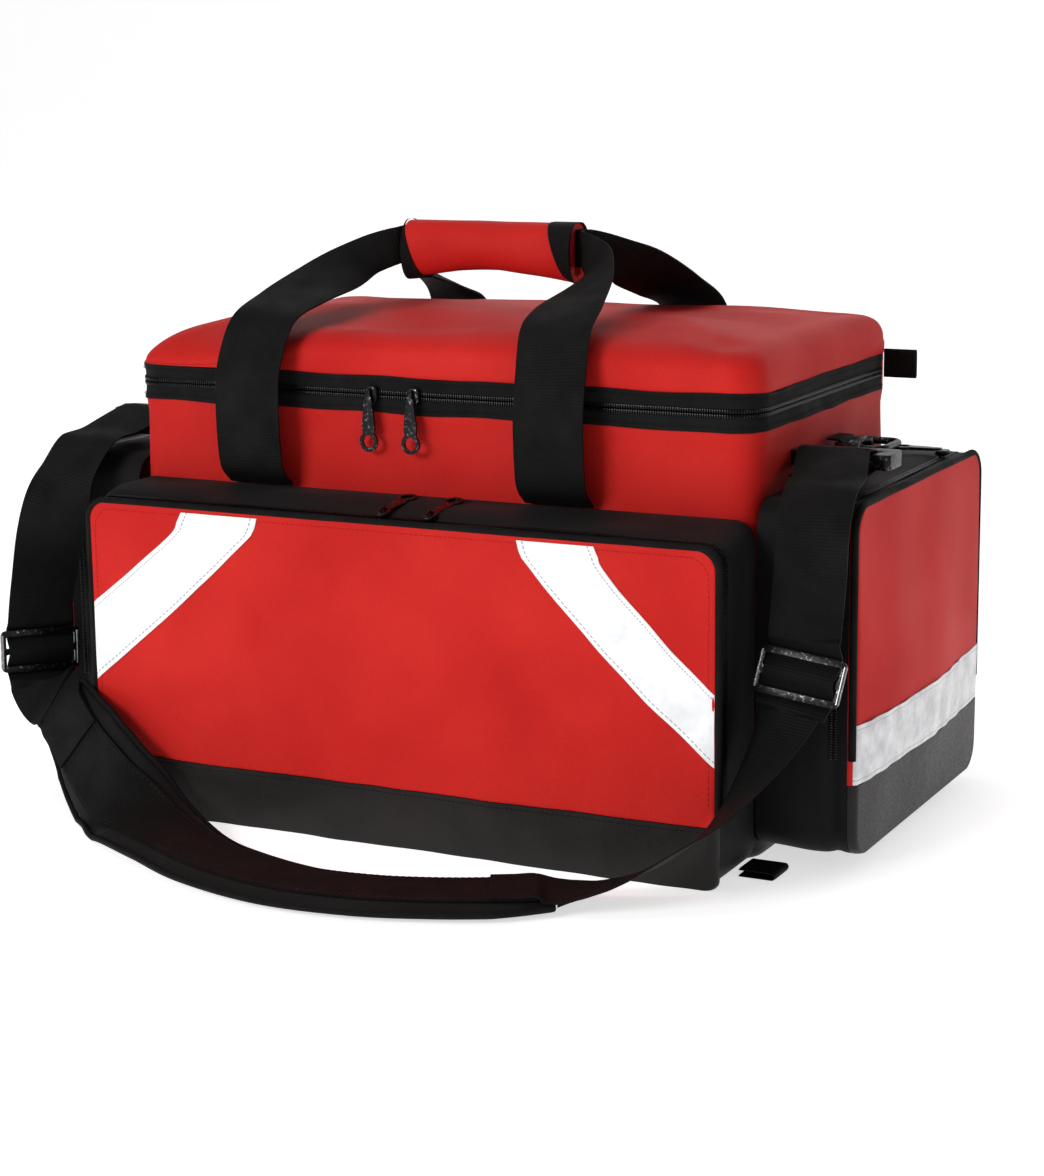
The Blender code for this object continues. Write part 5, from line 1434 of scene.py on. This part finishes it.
PAD_WIDTH = 0.068
PAD_THICKNESS = 0.010
PAD_END_WIDTH = 0.72
PAD_SHARE = 0.985
PAD_VOXEL = 0.003
PAD_PRESSURE = 2.5
PAD_SWELL = 0.0012
CLOTH_STIFFNESS = 12


def shoulder_pad(strap_ends):
    """The padded sleeve, swollen by a short cloth simulation, with piping, a web on top and its stitching."""
    path, side, normal, width = pad_path()
    angle = np.linspace(0, 2 * math.pi, 40, endpoint=False)
    c, s = np.cos(angle), np.sin(angle)
    u = np.sign(c) * np.abs(c) ** 0.5
    v = np.sign(s) * np.abs(s) ** 0.8
    points = (path[:, None] + side[:, None] * (u[None, :, None] * width[:, None, None] / 2 * PAD_SHARE)
              + normal[:, None] * (v[None, :, None] * PAD_THICKNESS / 2 * 0.9))
    pad = grid("shoulder pad", points, metres(points), wrap_columns=True, caps=True)
    swollen(pad)
    flat_below(pad, 0.0004)
    dress(pad, "strap", "black_webbing", PAD_CLOTH, "shoulder_pad")
    edge = np.vstack([path + side * (width * 0.5)[:, None], (path - side * (width * 0.5)[:, None])[::-1]])
    edge = edge + np.array([0, 0, 0.0002])
    edge[:, 2] = np.maximum(edge[:, 2], 0.0024)
    dress(tube("shoulder pad piping", edge, 0.0020, 10, closed=True), "strap", "black_webbing", BINDING)
    inner = slice(6, len(path) - 6)
    top = path[inner] + normal[inner] * (PAD_THICKNESS / 2 + 0.0010)
    web = band("shoulder pad web", top, side[inner], normal[inner], WEB_WIDTH * 0.92, 0.0018)
    dress(web, "strap", "black_webbing", WEB)
    for way in (-1, 1):
        line = top + side[inner] * way * WEB_WIDTH * 0.41 + normal[inner] * 0.0012
        stitches(f"shoulder pad thread {way}", line, normal[inner], "strap", GREY_THREAD, 0.0042)
    joined_webs(strap_ends, top, side[inner], normal[inner])


def joined_webs(strap_ends, top, side, normal):
    """The short stretch at each end where the strap's web passes onto the pad's top and is sewn down."""
    for (label, path, across), spots in zip(strap_ends, ((0, 8, 16), (-1, -9, -17))):
        rows = [path[-14], path[-7], path[-1] + 0.4 * (top[spots[0]] - path[-1])]
        turned = [across[-14], across[-7], across[-1]]
        facing = 1.0 if across[-1] @ side[spots[0]] > 0 else -1.0
        rows += [top[k] + normal[k] * 0.0016 for k in spots]
        turned += [side[k] * facing for k in spots]
        line = smooth_path(rows, 60)
        _, wide, out = frames_along(line, smooth_path(turned, 60))
        web = band(f"strap end {label}", line, wide, out, STRAP_WIDTH * 0.97, STRAP_THICKNESS * 1.25)
        dress(web, "strap", "black_webbing", WEB)


def swollen(obj):
    """Remeshes the pad, blows it up as cloth for twenty frames and limits how far each point may go."""
    remesh = obj.modifiers.new("even cloth", "REMESH")
    remesh.mode = "VOXEL"
    remesh.voxel_size = PAD_VOXEL
    applied(obj)
    start = positions(obj)
    cloth = obj.modifiers.new("filling", "CLOTH")
    settings = cloth.settings
    settings.quality = 5
    settings.mass = 0.2
    settings.tension_stiffness = settings.compression_stiffness = CLOTH_STIFFNESS
    settings.use_pressure = True
    settings.uniform_pressure_force = PAD_PRESSURE
    settings.effector_weights.gravity = 0
    for step in range(1, 21):
        bpy.context.scene.frame_set(step)
    applied(obj)
    bpy.context.scene.frame_set(1)
    moved = positions(obj) - start
    far = np.linalg.norm(moved, axis=1)[:, None]
    kept = start + moved * np.minimum(1, PAD_SWELL / np.maximum(far, 1e-9))
    obj.data.vertices.foreach_set("co", kept.ravel())
    fine = obj.modifiers.new("smooth", "SUBSURF")
    fine.levels = fine.render_levels = 1
    applied(obj)
    obj.data.shade_smooth()


def flat_below(obj, floor):
    """Rests a piece on the ground: nothing of it lies lower than the floor's clearance."""
    points = positions(obj)
    points[:, 2] = np.maximum(points[:, 2], floor)
    obj.data.vertices.foreach_set("co", points.ravel())


def ring_and_tab(side, label):
    """The wire ring with its folded web tab."""
    half_x, half_y = (RING_OUT_X - RING_BAR_X) / 2, (RING_BACK_Y - RING_FRONT_Y) / 2
    line, _, _ = around(half_x, half_y, 0.008, 96)
    path = stacked(side * (line[:, 0] + (RING_OUT_X + RING_BAR_X) / 2),
                   line[:, 1] + (RING_BACK_Y + RING_FRONT_Y) / 2, RING_HEIGHT)
    ring = tube(f"ring {label}", path, RING_WIRE, 16, closed=True)
    dress(ring, "bag", "dark_metal", GUNMETAL, f"d_ring_{label}")
    low, high = corners(f"d_ring_tab_{label}")
    clear = RING_WIRE + 0.0013
    turn = np.linspace(math.pi / 2, -math.pi / 2, 18)
    x = side * RING_BAR_X
    loop = [(x + side * clear * math.cos(a), RING_HEIGHT + clear * math.sin(a)) for a in turn]
    wall = side * (HALF_LENGTH + 0.0016)
    strand = [(wall, RING_HEIGHT + 0.004), (wall + side * 0.002, RING_HEIGHT + clear)] + loop
    strand += [(wall + side * 0.002, RING_HEIGHT - clear - 0.001), (wall, low[2] + 0.004), (wall, low[2])]
    flat = smooth_path(np.array(strand), 80)
    path = stacked(flat[:, 0], (low[1] + high[1]) / 2, flat[:, 1])
    _, across, normal = frames_along(path, Y)
    tab = band(f"ring tab {label}", path, across, normal, high[1] - low[1], STRAP_THICKNESS)
    dress(tab, "bag", "black_webbing", WEB, f"d_ring_tab_{label}")


def hook(side, label):
    """Snap hook, its gate and the swivel eye."""
    x, y0, z0 = side * HOOK_X, RING_FRONT_Y, RING_HEIGHT
    front = np.linspace(-math.pi / 2, math.radians(50), 14)
    back = np.linspace(math.radians(110), 3 * math.pi / 2, 14)
    outline = arc(0, 0, HOOK_OUTER, front) + arc(0, 0, HOOK_INNER, front[::-1])
    outline += arc(-HOOK_SLOT, 0, HOOK_INNER, back[::-1]) + arc(-HOOK_SLOT, 0, HOOK_OUTER, back)
    body = extruded(f"hook {label}", outline, [], 0.0068, (x, y0, z0), Y, Z, HOOK_EDGE, 3)
    start = y0 - HOOK_SLOT - HOOK_OUTER + 0.0018
    steps = np.linspace(0, 1, 24)
    path = stacked(x, start + (HOOK_SHANK_END - start) * steps, z0)
    radius = 0.0043 - 0.0010 * np.sin(math.pi * steps) + 0.0006 * (steps > 0.85)
    shank = tube(f"shank {label}", path, radius, 20)
    dress(joined(f"hook {label}", [body, shank]), "strap", "dark_metal", GUNMETAL, f"hook_body_{label}")
    low, high = corners(f"hook_gate_{label}")
    gate = extruded(f"gate {label}", rounded_outline((high[1] - low[1]) / 2, (high[2] - low[2]) / 2, 0.0010),
                    [], high[0] - low[0], (low + high) / 2, Y, Z, PLATE_EDGE)
    dress(gate, f"hook_gate_{label}", "dark_metal", GUNMETAL, f"hook_gate_{label}")
    eye = extruded(f"eye {label}", rounded_outline(STRAP_SLOT_HALF + EYE_BAR, EYE_DEPTH + EYE_BAR, 0.004),
                   [rounded_outline(STRAP_SLOT_HALF, EYE_DEPTH, 0.002)], EYE_BAR, (x, EYE_Y, z0), X, Y,
                   CAST_EDGE, 3)
    steps = np.linspace(0, 1, 16)
    start, end = HOOK_SHANK_END - SEAM_GAP, EYE_Y + EYE_DEPTH + EYE_BAR - 0.0006
    path = stacked(x, start + (end - start) * steps, z0)
    collar = tube(f"collar {label}", path, 0.0050 - 0.0007 * np.cos(steps * 4 * math.pi) ** 2, 20)
    eye = joined(f"swivel eye {label}", [eye, collar])
    dress(eye, "strap", "dark_metal", GUNMETAL, f"swivel_eye_{label}")


# Web tabs

TAB_THICK = 0.0013


def folded_tab(name, node, body, wide_axis, out_axis):
    """A web folded on itself: out along one axis, round a small turn and back, within its node's box."""
    low, high = corners(node)
    thin = ({0, 1, 2} - {wide_axis, out_axis}).pop()
    middle, half = (low + high) / 2, (high - low) / 2
    lift = half[thin] - TAB_THICK / 2
    sign = 1.0 if middle[out_axis] >= 0 else -1.0
    start = middle[out_axis] - sign * half[out_axis]
    end = middle[out_axis] + sign * (half[out_axis] - lift - TAB_THICK / 2)
    turn = np.linspace(math.pi / 2, -math.pi / 2, 14)
    strand = [(start, lift)] + [(start + (end - start) * t, lift) for t in (0.35, 0.7)]
    strand += [(end + sign * lift * math.cos(a), lift * math.sin(a)) for a in turn]
    strand += [(start + (end - start) * t, -lift) for t in (0.7, 0.35)] + [(start, -lift)]
    flat = smooth_path(np.array(strand), 70)
    path = np.tile(middle, (70, 1))
    path[:, out_axis] = flat[:, 0]
    path[:, thin] = middle[thin] + flat[:, 1]
    _, across, normal = frames_along(path, np.eye(3)[wide_axis])
    tab = band(name, path, across, normal, 2 * half[wide_axis], TAB_THICK)
    dress(tab, body, "black_webbing", WEB, node)


def tabs():
    for _, label in SIDES:
        folded_tab(f"zip end tab {label}", f"zip_tab_{label}", "lid", 2, 0)
        folded_tab(f"lash loop {label}", f"lash_loop_{label}", "bag", 1, 0)


def bottom_board():
    board = bpy.data.objects["bottom_board"]
    board.data.materials.clear()
    board.data.materials.append(BOARD)


PAD_CLOTH = nylon("pad cloth", (0.0020, 0.0017, 0.0016), (0.0085, 0.0072, 0.0068), thread=0.0008, rough=0.7)


body_walls()
base_tray()
bottom_board()
zip_tapes()
rear_fabric()
lid_cloth()
front_gusset()
front_panel()
for way, name in SIDES:
    end_pocket(way, name)
    ring_and_tab(way, name)
    hook(way, name)
handle_webs()
grip()
sliders()
shoulder_pad(strap_webs())
tabs()


# Studio


def floor():
    """A large pale floor that curves up far behind into a backdrop."""
    far, rise = 2.6, 2.4
    turn = np.linspace(0, math.pi / 2, 12)
    y = np.r_[-4.0, far, far + rise * np.sin(turn)]
    z = np.r_[0, 0, rise - rise * np.cos(turn)]
    y, z = np.r_[y, far + rise], np.r_[z, rise + 4.0]
    x = np.linspace(-6, 6, 3)
    points = stacked(x[None], y[:, None], z[:, None])
    i, j = np.meshgrid(np.arange(len(y) - 1), np.arange(2), indexing="ij")
    quads = stacked(i * 3 + j, i * 3 + j + 1, i * 3 + j + 4, i * 3 + j + 3).reshape(-1, 4)
    mesh = mesh_of("floor", points, quads.tolist())
    mesh.shade_smooth()
    made = bpy.data.materials.new("pale floor")
    made.use_nodes = True
    shader = made.node_tree.nodes["Principled BSDF"]
    shader.inputs["Base Color"].default_value = (0.95, 0.95, 0.95, 1)
    shader.inputs["Roughness"].default_value = 0.95
    shader.inputs["Emission Color"].default_value = (1, 1, 1, 1)
    shader.inputs["Emission Strength"].default_value = 0.62
    mesh.materials.append(made)
    linked("floor", mesh)


def lamp(name, place, target, size, power):
    light = bpy.data.lights.new(name, "AREA")
    light.shape = "RECTANGLE"
    light.size, light.size_y = size
    light.energy = power
    obj = linked(name, light)
    obj.location = place
    obj.rotation_mode = "QUATERNION"
    obj.rotation_quaternion = (Vector(target) - Vector(place)).to_track_quat("-Z", "Y")


def studio():
    floor()
    world = bpy.data.worlds.new("studio")
    world.use_nodes = True
    world.node_tree.nodes["Background"].inputs["Color"].default_value = (1, 1, 1, 1)
    world.node_tree.nodes["Background"].inputs["Strength"].default_value = 0.15
    bpy.context.scene.world = world
    middle = (0, 0, 0.18)
    lamp("key", (-1.0, -2.8, 1.35), middle, (1.4, 1.0), 56)
    lamp("top", (-0.2, 0.0, 2.3), middle, (1.6, 1.2), 12)
    lamp("right edge", (2.2, -1.2, 0.9), middle, (0.6, 1.0), 5)


CAMERA_PLACE = (0.8457, -1.6743, 0.5342)
CAMERA_YAW, CAMERA_PITCH, CAMERA_ROLL = 26.7, 11.9, -0.7
CAMERA_LENS = 81.42


def camera():
    """The camera looks at the bag from its right front, a little above and rolled slightly."""
    yaw, pitch, roll = (math.radians(a) for a in (CAMERA_YAW, CAMERA_PITCH, CAMERA_ROLL))
    back = Vector((math.sin(yaw) * math.cos(pitch), -math.cos(yaw) * math.cos(pitch), math.sin(pitch)))
    right = Vector((math.cos(yaw), math.sin(yaw), 0))
    up = back.cross(right)
    across = right * math.cos(roll) + up * math.sin(roll)
    upright = up * math.cos(roll) - right * math.sin(roll)
    data = bpy.data.cameras.new("camera")
    data.lens = CAMERA_LENS
    data.clip_end = 50
    obj = linked("camera", data)
    turn = Matrix((across, upright, back)).transposed().to_4x4()
    obj.matrix_world = Matrix.Translation(CAMERA_PLACE) @ turn
    bpy.context.scene.camera = obj
    bpy.context.scene.view_settings.view_transform = "Standard"


studio()
camera()
